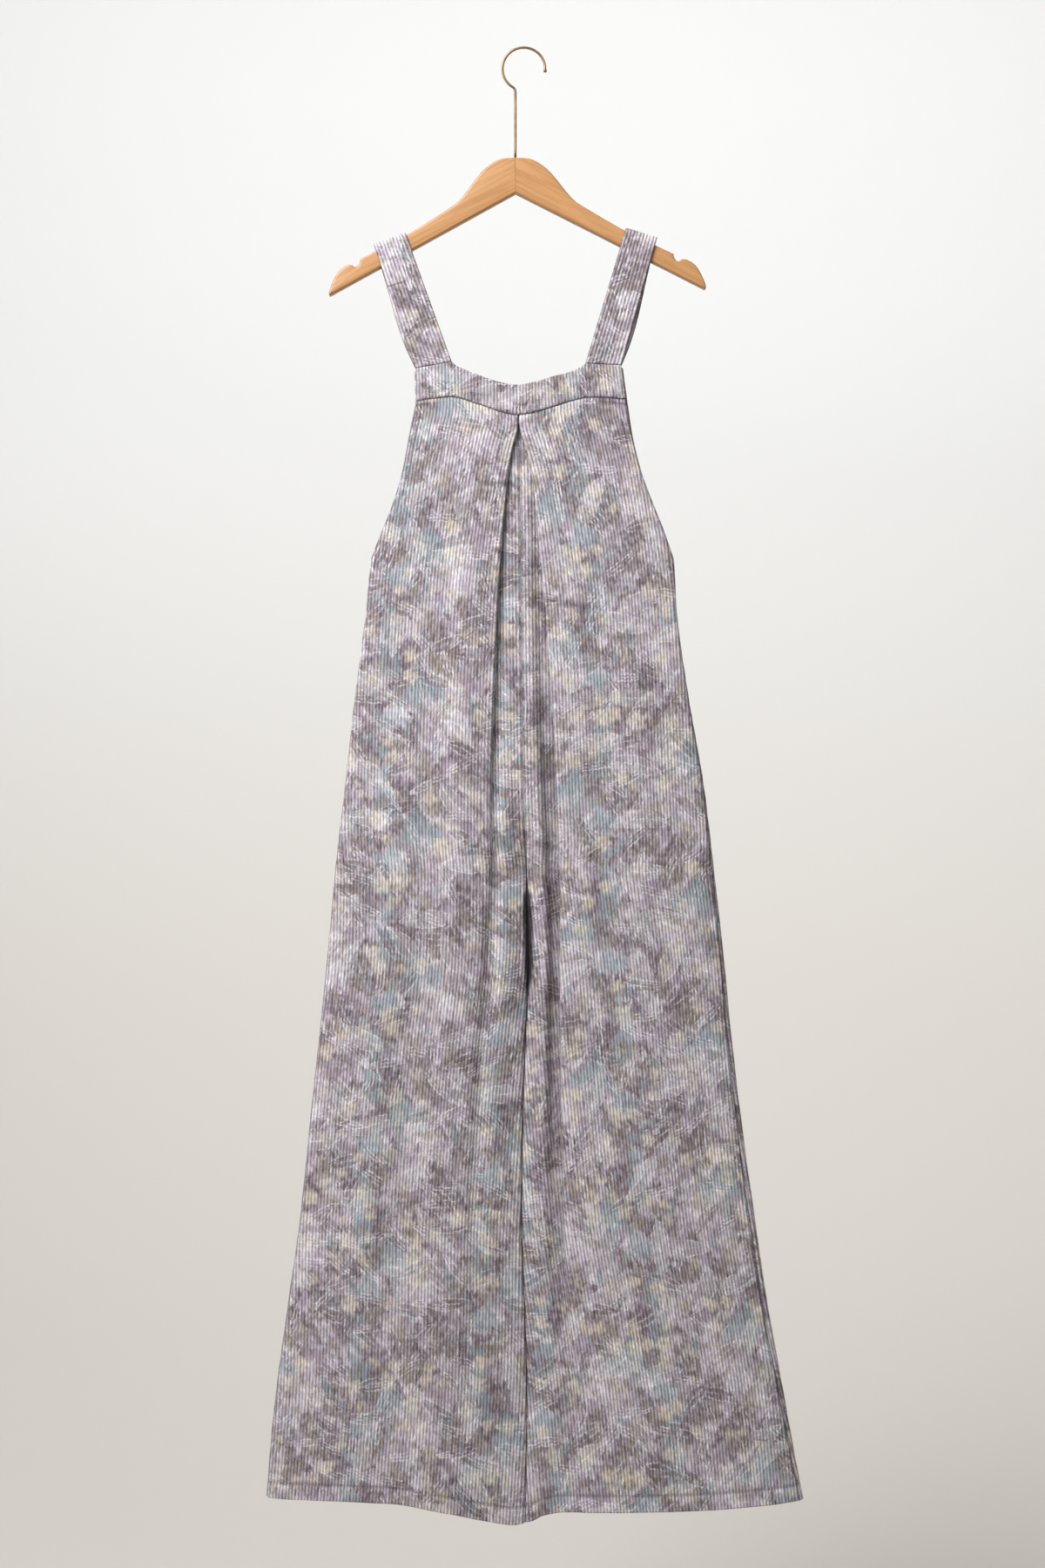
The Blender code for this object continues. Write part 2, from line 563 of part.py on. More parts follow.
def strap_rows(depth, rise):
    """The strap's rows from the front base to the back base.

    Each is its run up the strap, its y, how much of the normal points up the strap and
    along y, its swing outwards, and its share of the sloping foot.
    """
    rows = []
    for k in range(STRAP_ROWS_DOWN):
        t = k / STRAP_ROWS_DOWN
        rows.append((rise * t, -depth, 0.0, -1.0, 0.0, 1 - t))
    flat = depth - STRAP_ARCH_RADIUS
    for angle in np.radians((0, 30, 60, 90)):
        y = -flat - STRAP_ARCH_RADIUS * math.cos(angle)
        rows.append((rise + STRAP_ARCH_RADIUS * math.sin(angle), y, math.sin(angle), -math.cos(angle), 0.0, 0.0))
    for angle in np.radians((90, 60, 30, 0)):
        y = flat + STRAP_ARCH_RADIUS * math.cos(angle)
        rows.append((rise + STRAP_ARCH_RADIUS * math.sin(angle), y, math.sin(angle), math.cos(angle), 0.0, 0.0))
    for k in range(1, STRAP_ROWS_DOWN + 1):
        t = k / STRAP_ROWS_DOWN
        swing = BACK_STRAP_SWING * math.sin(math.pi * t)
        rows.append((rise * (1 - t), depth, 0.0, 1.0, swing, t))
    return rows


def hanger_arm(name, side):
    """One wooden arm: a board cut to its outline, with its long edges rounded except at the mitre."""
    curve = bpy.data.curves.new(name, "CURVE")
    curve.dimensions = "2D"
    curve.fill_mode = "BOTH"
    curve.extrude = HANGER_THICKNESS / 2 * MM
    curve.resolution_u = 3
    line = curve.splines.new("BEZIER")
    line.bezier_points.add(len(ARM_OUTLINE) - 1)
    line.use_cyclic_u = True
    for point, row in zip(line.bezier_points, ARM_OUTLINE):
        place = dict(zip(ARM_OUTLINE_COLUMNS, row))
        point.co = (side * place["out"] * MM, -place["down"] * MM, 0)
        kind = "VECTOR" if place["corner"] else "AUTO"
        point.handle_left_type = point.handle_right_type = kind
    holder = bpy.data.objects.new(name + "_outline", curve)
    bpy.data.collections["guides"].objects.link(holder)
    bpy.context.view_layer.update()
    mesh = bpy.data.meshes.new_from_object(holder.evaluated_get(bpy.context.evaluated_depsgraph_get()))
    bpy.data.objects.remove(holder)
    mesh.name = name
    board = bmesh.new()
    board.from_mesh(mesh)
    bmesh.ops.remove_doubles(board, verts=board.verts, dist=1e-6)
    bmesh.ops.recalc_face_normals(board, faces=board.faces)
    weight = board.edges.layers.float.new("bevel_weight_edge")
    mitre = 0.5 * MM
    for edge in board.edges:
        at_mitre = all(abs(corner.co.x) < mitre for corner in edge.verts)
        sharp = edge.is_manifold and edge.calc_face_angle() > math.radians(50)
        across_board = abs(edge.verts[0].co.z - edge.verts[1].co.z) > HANGER_THICKNESS / 2 * MM
        edge[weight] = 1.0 if sharp and not at_mitre and not across_board else 0.0
    board.to_mesh(mesh)
    board.free()
    mesh.materials.clear()
    arm = add_object(name, mesh, "beech")
    rounding = arm.modifiers.new("Rounded edges", "BEVEL")
    rounding.limit_method = "WEIGHT"
    rounding.width = ARM_EDGE_ROUND * MM
    rounding.segments = 2
    rounding.use_clamp_overlap = False
    arm.rotation_euler = (math.radians(90), -math.radians(HANGER_TILT), 0)
    arm.location = (HANGER_TOP[0] * MM, 0, HANGER_TOP[1] * MM)
    return arm


def hanger_hook(name):
    """The wire hook: a straight shank, a tight bend to the left, and the round of the hook."""
    centre_z = -(HOOK_RADIUS - WIRE / 2)
    angles = np.radians(np.arange(HOOK_START, HOOK_END + 0.1, HOOK_STEP))
    points = [(HOOK_RADIUS * math.cos(a), centre_z + HOOK_RADIUS * math.sin(a)) for a in angles]
    end_x, end_z = points[-1]
    # The wire's heading there, which the neck bend turns to straight down.
    heading = math.atan2(math.cos(angles[-1]), -math.sin(angles[-1]))
    down = -math.pi / 2
    centre = (end_x + HOOK_NECK_RADIUS * math.sin(heading), end_z - HOOK_NECK_RADIUS * math.cos(heading))
    for t in np.linspace(0.25, 1, 4):
        a = heading + (down - heading) * t
        points.append((centre[0] - HOOK_NECK_RADIUS * math.sin(a), centre[1] + HOOK_NECK_RADIUS * math.cos(a)))
    foot = HANGER_TOP[1] + SEAM_GAP
    points.append((points[-1][0], (points[-1][1] + foot) / 2))
    points.append((points[-2][0], foot))
    curve = bpy.data.curves.new(name, "CURVE")
    curve.dimensions = "3D"
    curve.bevel_depth = WIRE / 2 * MM
    curve.bevel_resolution = 2
    curve.use_fill_caps = True
    line = curve.splines.new("POLY")
    line.points.add(len(points) - 1)
    for point, (x, z) in zip(line.points, points):
        point.co = (x * MM, 0, z * MM, 1)
    return add_object(name, curve, "brass_wire")


def main():
    """Builds every piece of the overalls and the hanger."""
    clear_scene()
    for name in ("overalls", "guides"):
        old = bpy.data.collections.get(name)
        if old is None:
            bpy.context.scene.collection.children.link(bpy.data.collections.new(name))
    for face, face_name in ((-1, "front"), (1, "back")):
        for side, side_name in ((-1, "left"), (1, "right")):
            outer, inner = Panel(side, face).surfaces()
            wall(f"{face_name}_panel_{side_name}", outer, inner, "rib_knit")
        yoke(f"{face_name}_yoke", face)
    for side, side_name in ((-1, "left"), (1, "right")):
        strap(f"strap_{side_name}", side)
        hanger_arm(f"hanger_arm_{side_name}", side)
    hanger_hook("hanger_hook")


main()
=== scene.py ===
"""Dresses the rib-knit overalls and their wooden hanger for a render.

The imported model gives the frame: +X to the right of someone facing the garment, -Y
towards them, +Z up, with the origin at the top inside the hook. Every piece of
cloth is worked out here again as a finer wall with its ribs raised, in the place
of the plain wall of the same name. Tables and sizes are in millimetres, and each
mesh is scaled to metres when it is made.
"""

from __future__ import annotations

import logging
import math
from dataclasses import dataclass, field
from enum import Enum
from functools import partial, reduce

import bmesh
import bpy
import numpy as np
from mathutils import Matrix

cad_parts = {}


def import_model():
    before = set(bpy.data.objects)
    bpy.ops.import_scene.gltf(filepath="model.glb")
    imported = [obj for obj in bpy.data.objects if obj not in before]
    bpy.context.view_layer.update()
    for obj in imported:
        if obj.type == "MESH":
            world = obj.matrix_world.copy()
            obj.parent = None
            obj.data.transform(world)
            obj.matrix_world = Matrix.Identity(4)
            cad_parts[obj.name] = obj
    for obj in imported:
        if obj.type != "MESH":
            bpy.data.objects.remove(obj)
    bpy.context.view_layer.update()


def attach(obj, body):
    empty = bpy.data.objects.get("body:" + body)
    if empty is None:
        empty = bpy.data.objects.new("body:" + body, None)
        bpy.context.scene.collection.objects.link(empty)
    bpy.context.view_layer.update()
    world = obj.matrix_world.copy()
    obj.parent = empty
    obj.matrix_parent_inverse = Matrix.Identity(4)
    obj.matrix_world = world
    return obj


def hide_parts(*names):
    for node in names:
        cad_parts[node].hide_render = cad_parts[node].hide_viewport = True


LOG = logging.getLogger("overalls")
MM = 0.001
TINY = 1e-6
TURN = 2 * math.pi
Array = np.ndarray
Points = tuple[tuple[float, float], ...]
Socket = bpy.types.NodeSocket


class Side(Enum):
    """The half of the garment, as someone facing it sees it."""

    LEFT = -1
    RIGHT = 1


class Face(Enum):
    """The front of the garment or its back."""

    FRONT = -1
    BACK = 1


def smooth_curve(at: Array | float, knots: Array, values: Array) -> Array:
    """Reads a curve through the knots that doesn't overshoot.

    Between two knots the curve is the cubic with their values and slopes. A knot's
    slope is the harmonic mean of the rises on its two sides, or 0 at a peak.

    Args:
        at: Where to read it.
        knots: Places along the curve, rising or falling.
        values: The curve's value at each.

    Returns:
        The curve's values.
    """
    knots, values = np.asarray(knots, float), np.asarray(values, float)
    if knots[0] > knots[-1]:
        knots, values = knots[::-1], values[::-1]
    rises = np.diff(values) / np.diff(knots)
    before, after = rises[:-1], rises[1:]
    same_way = before * after > 0
    harmonic = 2 * before * after / np.where(same_way, before + after, 1.0)
    slopes = np.concatenate([rises[:1], np.where(same_way, harmonic, 0.0), rises[-1:]])
    at = np.clip(np.asarray(at, float), knots[0], knots[-1])
    i = np.clip(np.searchsorted(knots, at) - 1, 0, len(knots) - 2)
    step = knots[i + 1] - knots[i]
    t = (at - knots[i]) / step
    rise = values[i] * (2 * t**3 - 3 * t**2 + 1) + values[i + 1] * (3 * t**2 - 2 * t**3)
    bend = slopes[i] * (t**3 - 2 * t**2 + t) + slopes[i + 1] * (t**3 - t**2)
    return rise + step * bend


def along(points: Points, at: Array | float) -> Array:
    """Reads an edge, given as (place, height) points, at those places."""
    data = np.array(points, float)
    return smooth_curve(at, data[:, 0], data[:, 1])


def bell(offset: Array | float, width: float) -> Array:
    """A bell curve: 1 at an offset of 0, and 1/e at one width from there."""
    return np.exp(-((offset / width) ** 2))


def ease(t: Array | float) -> Array:
    """Gives 0 below 0, 1 above 1, and 3t^2 - 2t^3 between."""
    t = np.clip(t, 0.0, 1.0)
    return t * t * (3 - 2 * t)


@dataclass(frozen=True)
class Table:
    """Rows of sizes, each row for one level below the hook."""

    columns: tuple[str, ...]
    rows: tuple[tuple[float, ...], ...]

    def at(self, level: float) -> dict[str, float]:
        """Reads every column at a level, by its name."""
        levels, *columns = np.array(self.rows, float).T
        names = self.columns[1:]
        return {name: float(smooth_curve(level, levels, each)) for name, each in zip(names, columns)}


@dataclass(frozen=True)
class Knit:
    """Sizes of the rib knit."""

    wall: float = 1.5
    double_wall: float = 2.4
    rib_pitch: float = 3.7
    rib_height: float = 0.75
    rib_sink: float = 0.35
    samples_per_rib: int = 4
    seam_gap: float = 0.3

    def rib(self, wave: Array) -> Array:
        """Turns a wave from 0 in a groove to 1 on a crest into heights about the wall's own face.

        Its crest is drawn out, so that the grooves are narrow.
        """
        return self.rib_height * wave**0.6 - self.rib_sink * self.rib_height

    def ribs(self, across: Array) -> Array:
        """The ribs' heights at distances across them, with 0 on a crest."""
        return self.rib(0.5 + 0.5 * np.cos(TURN * across / self.rib_pitch))


KNIT = Knit()


@dataclass(frozen=True)
class Fold:
    """A soft fold that hangs down the cloth, through three places; a depth below zero is a ridge."""

    top: float
    foot: float
    top_x: float
    middle_x: float
    foot_x: float
    half_width: float
    depth: float

    def setback(self, x: Array, level: float) -> Array:
        """How far the fold sets the cloth back: its depth times a bell curve about its line.

        Args:
            x: Places across the body.
            level: The height below the hook.

        Returns:
            The setback at each place.
        """
        t = (self.top - level) / (self.top - self.foot)
        if not 0 < t < 1:
            return np.zeros_like(x)
        line = smooth_curve(t, (0, 0.5, 1), (self.top_x, self.middle_x, self.foot_x))
        strength = ease(t / 0.2) * ease((1 - t) / 0.3)
        return self.depth * strength * bell(x - line, self.half_width)


@dataclass
class Hang:
    """How the body of the garment hangs: its outline, bulge, pleat, folds, seams and hem."""

    top: float = -406.0
    hem: float = -1669.0
    underarm: float = -592.0
    underarm_run: float = 46.0
    crotch: float = -946.0
    crotch_run: float = 86.0
    inner_turn_rise: float = 60.0
    side_turn_run: float = 7.85
    middle_gap: float = 0.15
    seam_press: float = 0.02
    edge_share: float = 0.45
    inseam_set: float = 1.0
    back_armhole_ease: float = 2.5
    seam_fade: float = 130.0
    body: Table = Table(
        ("level", "left_x", "seam_x", "right_x", "front_bulge", "back_bulge", "edge_half"),
        (
            (-406, -122.5, -6.0, 117.0, 1.6, 1.0, 7.6),
            (-444, -130.5, -5.5, 123.0, 2.6, 1.4, 7.4),
            (-484, -138.5, -4.5, 133.5, 3.8, 1.9, 7.0),
            (-524, -150.5, -4.0, 148.5, 5.2, 2.4, 6.4),
            (-559, -164.5, -3.5, 162.5, 6.6, 2.9, 5.7),
            (-589, -175.0, -3.5, 171.5, 7.8, 3.4, 5.15),
            (-644, -180.5, -3.0, 175.0, 9.6, 4.2, 5.15),
            (-744, -193.5, -2.0, 188.5, 12.2, 5.2, 5.15),
            (-844, -204.5, -0.5, 205.5, 14.2, 6.0, 5.15),
            (-944, -216.0, 3.0, 217.5, 15.2, 6.4, 5.15),
            (-1044, -225.0, 5.5, 228.5, 14.6, 6.4, 5.15),
            (-1144, -235.5, 1.5, 238.5, 14.0, 6.6, 5.15),
            (-1244, -246.0, -1.5, 250.5, 14.0, 7.0, 5.15),
            (-1344, -256.5, -2.5, 264.5, 14.4, 7.4, 5.15),
            (-1444, -270.5, 1.0, 279.5, 15.0, 7.8, 5.15),
            (-1544, -284.0, 3.5, 297.5, 15.6, 8.2, 5.15),
            (-1624, -291.5, 2.5, 311.5, 16.0, 8.6, 5.15),
            (-1669, -294.0, 1.5, 319.5, 16.2, 8.8, 5.15),
        ),
    )
    pleat_columns: tuple[str, ...] = (
        "level", "edge", "turn", "turn_run", "flat_run", "seam_set", "ridge_end", "ridge_run",
    )
    pleat_left: tuple[tuple[float, ...], ...] = (
        (-421, 0.95, 180, 4.7, 20.0, 6.0, 0.35, 0.6),
        (-444, 7.5, 180, 4.7, 17.0, 5.9, 0.35, 0.6),
        (-484, 14.0, 178, 4.7, 13.0, 5.3, 0.35, 0.6),
        (-524, 18.5, 172, 4.8, 10.0, 4.7, 0.35, 0.6),
        (-589, 24.5, 158, 5.0, 6.0, 4.0, 0.35, 0.55),
        (-644, 28.0, 142, 5.2, 4.0, 3.4, 0.36, 0.5),
        (-744, 33.0, 108, 5.4, 3.0, 2.6, 0.4, 0.45),
        (-844, 38.0, 80, 5.6, 2.6, 1.8, 0.48, 0.36),
        (-944, 42.0, 52, 6.0, 2.0, 0.2, 0.56, 0.26),
        (-1044, 52.0, 38, 7.0, 1.5, -2.4, 0.54, 0.28),
        (-1144, 56.0, 32, 8.0, 1.5, -0.4, 0.55, 0.32),
        (-1244, 59.0, 30, 8.0, 1.5, 0.8, 0.5, 0.4),
        (-1344, 62.0, 23, 8.0, 1.5, 1.0, 0.45, 0.5),
        (-1444, 70.0, 15, 8.0, 1.5, 1.0, 0.4, 0.55),
        (-1669, 84.0, 8, 8.0, 1.5, 1.0, 0.35, 0.6),
    )
    pleat_right: tuple[tuple[float, ...], ...] = (
        (-421, 0.95, 180, 4.7, 20.0, 6.0, 0.35, 0.6),
        (-444, 7.5, 180, 4.7, 17.0, 5.9, 0.35, 0.6),
        (-484, 15.0, 178, 4.7, 13.0, 5.3, 0.35, 0.6),
        (-524, 18.5, 172, 4.8, 10.0, 4.7, 0.35, 0.6),
        (-589, 23.5, 158, 5.0, 6.0, 4.0, 0.33, 0.5),
        (-644, 28.5, 145, 5.2, 4.0, 3.4, 0.3, 0.45),
        (-744, 34.5, 122, 5.4, 3.0, 2.6, 0.3, 0.4),
        (-844, 39.0, 104, 5.6, 3.0, 1.8, 0.36, 0.32),
        (-944, 39.5, 94, 5.6, 3.4, 0.2, 0.46, 0.22),
        (-1044, 37.0, 90, 5.6, 3.4, -2.4, 0.5, 0.2),
        (-1144, 42.0, 88, 5.8, 3.0, -0.4, 0.5, 0.22),
        (-1244, 46.0, 84, 6.0, 2.4, 0.8, 0.5, 0.26),
        (-1344, 49.5, 76, 6.4, 1.8, 1.0, 0.48, 0.3),
        (-1444, 51.0, 56, 7.0, 1.5, 1.0, 0.44, 0.4),
        (-1544, 58.0, 30, 8.0, 1.5, 1.0, 0.4, 0.5),
        (-1669, 66.0, 14, 8.0, 1.5, 1.0, 0.35, 0.6),
    )
    front_folds: tuple[Fold, ...] = (
        Fold(-440, -1480, -46, -78, -128, 13, -2.2),
        Fold(-480, -1560, -90, -116, -168, 14, 2.2),
        Fold(-450, -1620, -108, -150, -208, 13, -1.8),
        Fold(-540, -1669, -134, -190, -252, 16, 2.6),
        Fold(-500, -1500, 76, 92, 132, 20, 1.6),
        Fold(-480, -1620, 112, 140, 196, 20, -1.6),
        Fold(-600, -1669, 150, 196, 262, 18, 2.0),
    )
    back_folds: tuple[Fold, ...] = (
        Fold(-430, -1520, -58, -80, -122, 18, 2.4),
        Fold(-520, -1640, -100, -138, -196, 18, -1.8),
        Fold(-640, -1669, -140, -188, -246, 18, 1.8),
        Fold(-430, -1560, 50, 74, 116, 18, 2.2),
        Fold(-540, -1640, 96, 136, 190, 18, -1.8),
        Fold(-660, -1669, 142, 190, 256, 18, 1.8),
    )
    yoke_seam: Points = (
        (-130, -406.5), (-101, -402.5), (-84, -401.0), (-51, -409.7), (-8, -421.6),
        (35, -411.9), (57, -405.3), (75, -401.7), (94, -402.0), (125, -404.3),
    )
    back_yoke_seam: Points = ((-130, -406.5), (-60, -412.0), (-8, -416.0), (60, -411.0), (125, -404.3))
    hem_line: Points = (
        (-296, -1661.5), (-227, -1661.0), (-154, -1663.3), (-93, -1674.0), (-45, -1685.0), (-8, -1692.0),
        (8, -1688.5), (23, -1680.3), (47, -1675.4), (168, -1672.5), (265, -1668.2), (322, -1664.0),
    )
    # How far the legs' ribs drift out from the inseam between the crotch and the hem.
    rib_drift: dict[Side, float] = field(default_factory=lambda: {Side.LEFT: 37.0, Side.RIGHT: 76.0})
    # How far the side seam lies round on the front, from the underarm down.
    seam_roll: dict[Side, Points] = field(
        default_factory=lambda: {
            Side.LEFT: ((-640, 0.0), (-900, 1.5), (-1669, 2.5)),
            Side.RIGHT: ((-640, 0.0), (-900, 4.0), (-1150, 7.0), (-1400, 9.0), (-1550, 8.0), (-1669, 6.0)),
        }
    )

    # Painted shade: how dark the cloth is painted in the cleft between the legs, the length of cloth painted
    # dark there on the front and, as inseam_width, on the back, and how dark the pleat's valleys are painted.
    cleft: Points = ((-930, 0.0), (-972, 0.95), (-1060, 1.0), (-1110, 0.8), (-1200, 0.6), (-1669, 0.55))
    cleft_width: Points = (
        (-935, 1.0), (-955, 3.5), (-972, 8.0), (-1000, 9.8), (-1050, 10.0), (-1070, 8.0), (-1092, 4.5),
        (-1669, 3.2),
    )
    inseam_width: float = 2.4
    pleat_shade: dict[Side, Points] = field(
        default_factory=lambda: {
            Side.LEFT: ((-420, 0.15), (-640, 0.1), (-800, 0.04), (-900, 0.0), (-1669, 0.0)),
            Side.RIGHT: (
                (-420, 0.2), (-700, 0.3), (-1000, 0.42), (-1300, 0.38), (-1500, 0.12), (-1669, 0.0),
            ),
        }
    )
    pleat_depth: float = 10.0

    def crotch_share(self, level: float) -> float:
        """How far the body has parted into legs, from 0 to 1."""
        return float(ease((self.crotch + self.crotch_run - level) / self.crotch_run))

    def height(self, x: Array, level: float, top_seam: Points) -> Array:
        """The height of a row of cloth, which follows the yoke's seam at the top and the hem at the foot.

        Args:
            x: Places across the body.
            level: The row's level.
            top_seam: The seam at the top of the panel.

        Returns:
            The heights, in which each seam's own shape fades out over seam_fade.
        """
        rise = along(top_seam, x) - KNIT.seam_gap - self.top
        drop = along(self.hem_line, x) - self.hem
        near_top = 1 - ease((self.top - level) / self.seam_fade)
        near_hem = ease((self.hem + self.seam_fade - level) / self.seam_fade)
        return level + rise * near_top + drop * near_hem


HANG = Hang()


def run_across(length: float, heading: float, end_heading: float) -> float:
    """How far outwards a stretch of cloth goes whose heading turns evenly.

    Args:
        length: The cloth's length.
        heading: Its heading where it starts, in radians from straight outwards.
        end_heading: Its heading where it ends.

    Returns:
        The distance outwards.
    """
    turn = end_heading - heading
    if abs(turn) < 1e-9:
        return length * math.cos(heading)
    return length * (math.sin(end_heading) - math.sin(heading)) / turn


@dataclass
class Cut:
    """A level cut through one panel: dense points of the cloth's middle, from its inner edge outwards.

    Its last field says how much painted shade each point takes in the cleft or the pleat, from 0 to 1.
    """

    s: Array
    x: Array
    y: Array
    normal_x: Array
    normal_y: Array
    hollow_shade: Array

    @property
    def length(self) -> float:
        """The cloth's length along the cut."""
        return float(self.s[-1])

    def read(self, s: Array) -> tuple[Array, Array, Array, Array]:
        """Reads x, y and the outward normal's x and y at lengths from the inner edge."""
        return tuple(np.interp(s, self.s, each) for each in (self.x, self.y, self.normal_x, self.normal_y))


@dataclass
class PanelForm:
    """The form of one of the four panels.

    At each level the cloth is a chain of stretches from the centre seam outwards: the
    turn at the inseam, the pleat's underlay, its two turns, the front, and the turn at
    the side seam. Heading is the angle of the cloth, and the form is the sum of small
    steps along it. A bulge and the soft folds are then added to its depth.
    """

    side: Side
    face: Face
    step: float = 0.15

    @property
    def name(self) -> str:
        """The node's name."""
        return f"{self.face.name.lower()}_panel_{self.side.name.lower()}"

    @property
    def pleat(self) -> Table | None:
        """The pleat's table, on the front only."""
        if self.face is Face.BACK:
            return None
        return Table(HANG.pleat_columns, HANG.pleat_left if self.side is Side.LEFT else HANG.pleat_right)

    @property
    def top_seam(self) -> Points:
        """The seam at the panel's top."""
        return HANG.yoke_seam if self.face is Face.FRONT else HANG.back_yoke_seam

    def half_width(self, level: float, body: dict[str, float]) -> float:
        """The distance from the centre seam out to the armhole's edge or the side seam."""
        edge = body["left_x"] if self.side is Side.LEFT else body["right_x"]
        width = self.side.value * (edge - body["seam_x"])
        if self.face is Face.BACK:
            raised = (level - HANG.underarm) / (HANG.top - HANG.underarm)
            width += HANG.back_armhole_ease * float(ease(raised))
        return width

    def stretches(
        self, level: float, body: dict[str, float], pleat: dict[str, float] | None
    ) -> tuple[float, float, Array]:
        """The chain of stretches that the cloth is made of at one level.

        Args:
            level: The height below the hook.
            body: The body table's row there.
            pleat: The pleat table's row there, on a panel that has a pleat.

        Returns:
            How far from the centre seam the cloth starts, how far it is set in there, and for
            each stretch its length and its heading where it starts and ends.
        """
        parting = float(ease((HANG.crotch + HANG.inner_turn_rise - level) / HANG.inner_turn_rise))
        closing = float(ease((HANG.underarm + HANG.underarm_run - level) / HANG.underarm_run))
        inner_turn, outer_turn = math.pi / 2 * parting, math.pi / 2 * closing
        start = HANG.seam_press + KNIT.wall / 2 * HANG.edge_share * math.sin(inner_turn)
        seam_set = pleat["seam_set"] if pleat else HANG.inseam_set * parting
        inner_run = math.pi / 2 * (body["edge_half"] - HANG.middle_gap - seam_set)
        used = start + run_across(inner_run, inner_turn, 0.0)
        chain = [(inner_run, inner_turn, 0.0)]
        if pleat:
            turn, turn_run, flat_run = math.radians(pleat["turn"]), pleat["turn_run"], pleat["flat_run"]
            front_start = pleat["edge"] + turn_run / turn * math.sin(min(turn, math.pi / 2))
            underlay = front_start - 2 * run_across(turn_run, 0.0, turn) - flat_run * math.cos(turn)
            chain += [(underlay - used, 0.0, 0.0), (turn_run, 0.0, turn)]
            chain += [(flat_run, turn, turn), (turn_run, turn, 0.0)]
            used = front_start
        front = self.half_width(level, body) - run_across(HANG.side_turn_run, 0.0, outer_turn) - used
        chain += [(front, 0.0, 0.0), (HANG.side_turn_run, 0.0, -outer_turn)]
        return start, seam_set, np.array(chain)

    def cut(self, level: float) -> Cut:
        """Works out the cloth's middle at one level.

        Args:
            level: The height below the hook.

        Returns:
            The dense cut.
        """
        body = HANG.body.at(level)
        pleat = self.pleat.at(level) if self.pleat else None
        start, seam_set, chain = self.stretches(level, body, pleat)
        ends = np.concatenate([[0], np.cumsum(chain[:, 0])])
        s = np.linspace(0, ends[-1], max(50, int(ends[-1] / self.step)))
        knots = np.ravel(np.column_stack([ends[:-1] + TINY, ends[1:]]))
        heading = np.interp(s, knots, np.ravel(chain[:, 1:]))
        middle, steps = (heading[1:] + heading[:-1]) / 2, np.diff(s)
        across = start + np.concatenate([[0], np.cumsum(np.cos(middle) * steps)])
        raw = np.concatenate([[0], np.cumsum(np.sin(middle) * steps)])
        out = raw - np.interp(ends[-2], s, raw)
        out += self.bulge(level, body, across, start)
        front = self.face is Face.FRONT
        # Painted shade along the inseam: wide in the cleft between the legs on the front, a thin line on the
        # back.
        dark_run = float(along(HANG.cleft_width, level)) if front else HANG.inseam_width
        hollow_shade = along(HANG.cleft, level) * np.exp(-((s / dark_run) ** 10))
        if pleat:
            underlay_end, first_turn_end, front_start = ends[2], ends[3], ends[5]
            depth = np.interp(front_start, s, raw) - np.interp(underlay_end, s, raw)
            ridge = 1 - ease((across / max(pleat["edge"], 1.0) - pleat["ridge_end"]) / pleat["ridge_run"])
            out += (depth - seam_set) * ridge * (s <= underlay_end + TINY)
            near = ease((s - front_start - 4) / 14)
            # Painted shade in the pleat's valleys, fuller where the pleat is deeper.
            rising = ease((s - first_turn_end) / (front_start - first_turn_end))
            valley = np.where(s <= underlay_end, 1 - ridge, 1 - rising)
            valley_shade = float(along(HANG.pleat_shade[self.side], level)) * min(depth / HANG.pleat_depth, 1.0)
            hollow_shade = hollow_shade + valley_shade * valley**2
        else:
            out -= seam_set * (1 - ease((across - start) / 40))
            near = ease((s - 12) / 20)
        x = body["seam_x"] + self.side.value * across
        window = near * ease((ends[-1] - HANG.side_turn_run - s) / 22)
        folds = HANG.front_folds if front else HANG.back_folds
        out -= sum(fold.setback(x, level) for fold in folds) * window
        out += self.ripple(s, level) * window
        y = self.face.value * (body["edge_half"] + out)
        along_x, along_y = np.gradient(x), np.gradient(y)
        length = np.hypot(along_x, along_y)
        outward = self.face.value * self.side.value
        return Cut(s, x, y, -outward * along_y / length, outward * along_x / length, hollow_shade)

    def bulge(self, level: float, body: dict[str, float], across: Array, start: float) -> Array:
        """How far the cloth stands out from its edges: one swell over the body, and one over each leg.

        Each swell is its height times 1 minus the cube of the place across it, from 0
        in its middle to 1 at its edge.

        Args:
            level: The height below the hook.
            body: The body table's row there.
            across: Distances from the centre seam.
            start: The distance at which the cloth starts.

        Returns:
            The distances out.
        """
        swell = body["front_bulge" if self.face is Face.FRONT else "back_bulge"]
        width = across[-1]
        leg = HANG.crotch_share(level)
        body_place = np.abs(across / width)
        leg_place = np.abs(2 * (across - start) / (width - start) - 1)
        return swell * ((1 - leg) * (1 - body_place**3) + leg * (1 - leg_place**3))

    def ripple(self, s: Array, level: float) -> Array:
        """Small unevenness of hanging cloth: three crossing waves, longer down the cloth than across it."""
        phase = 1.7 * self.side.value + 0.9 * self.face.value
        broad = np.sin(s / 17.0 + 0.9 * math.sin(level / 140.0 + phase) + phase)
        middle = np.sin(s / 9.5 - level / 210.0 + 2.1 * phase)
        fine = np.sin(s / 26.0 + level / 64.0 + 3.3 * phase)
        return 0.42 * broad + 0.2 * middle + 0.34 * fine


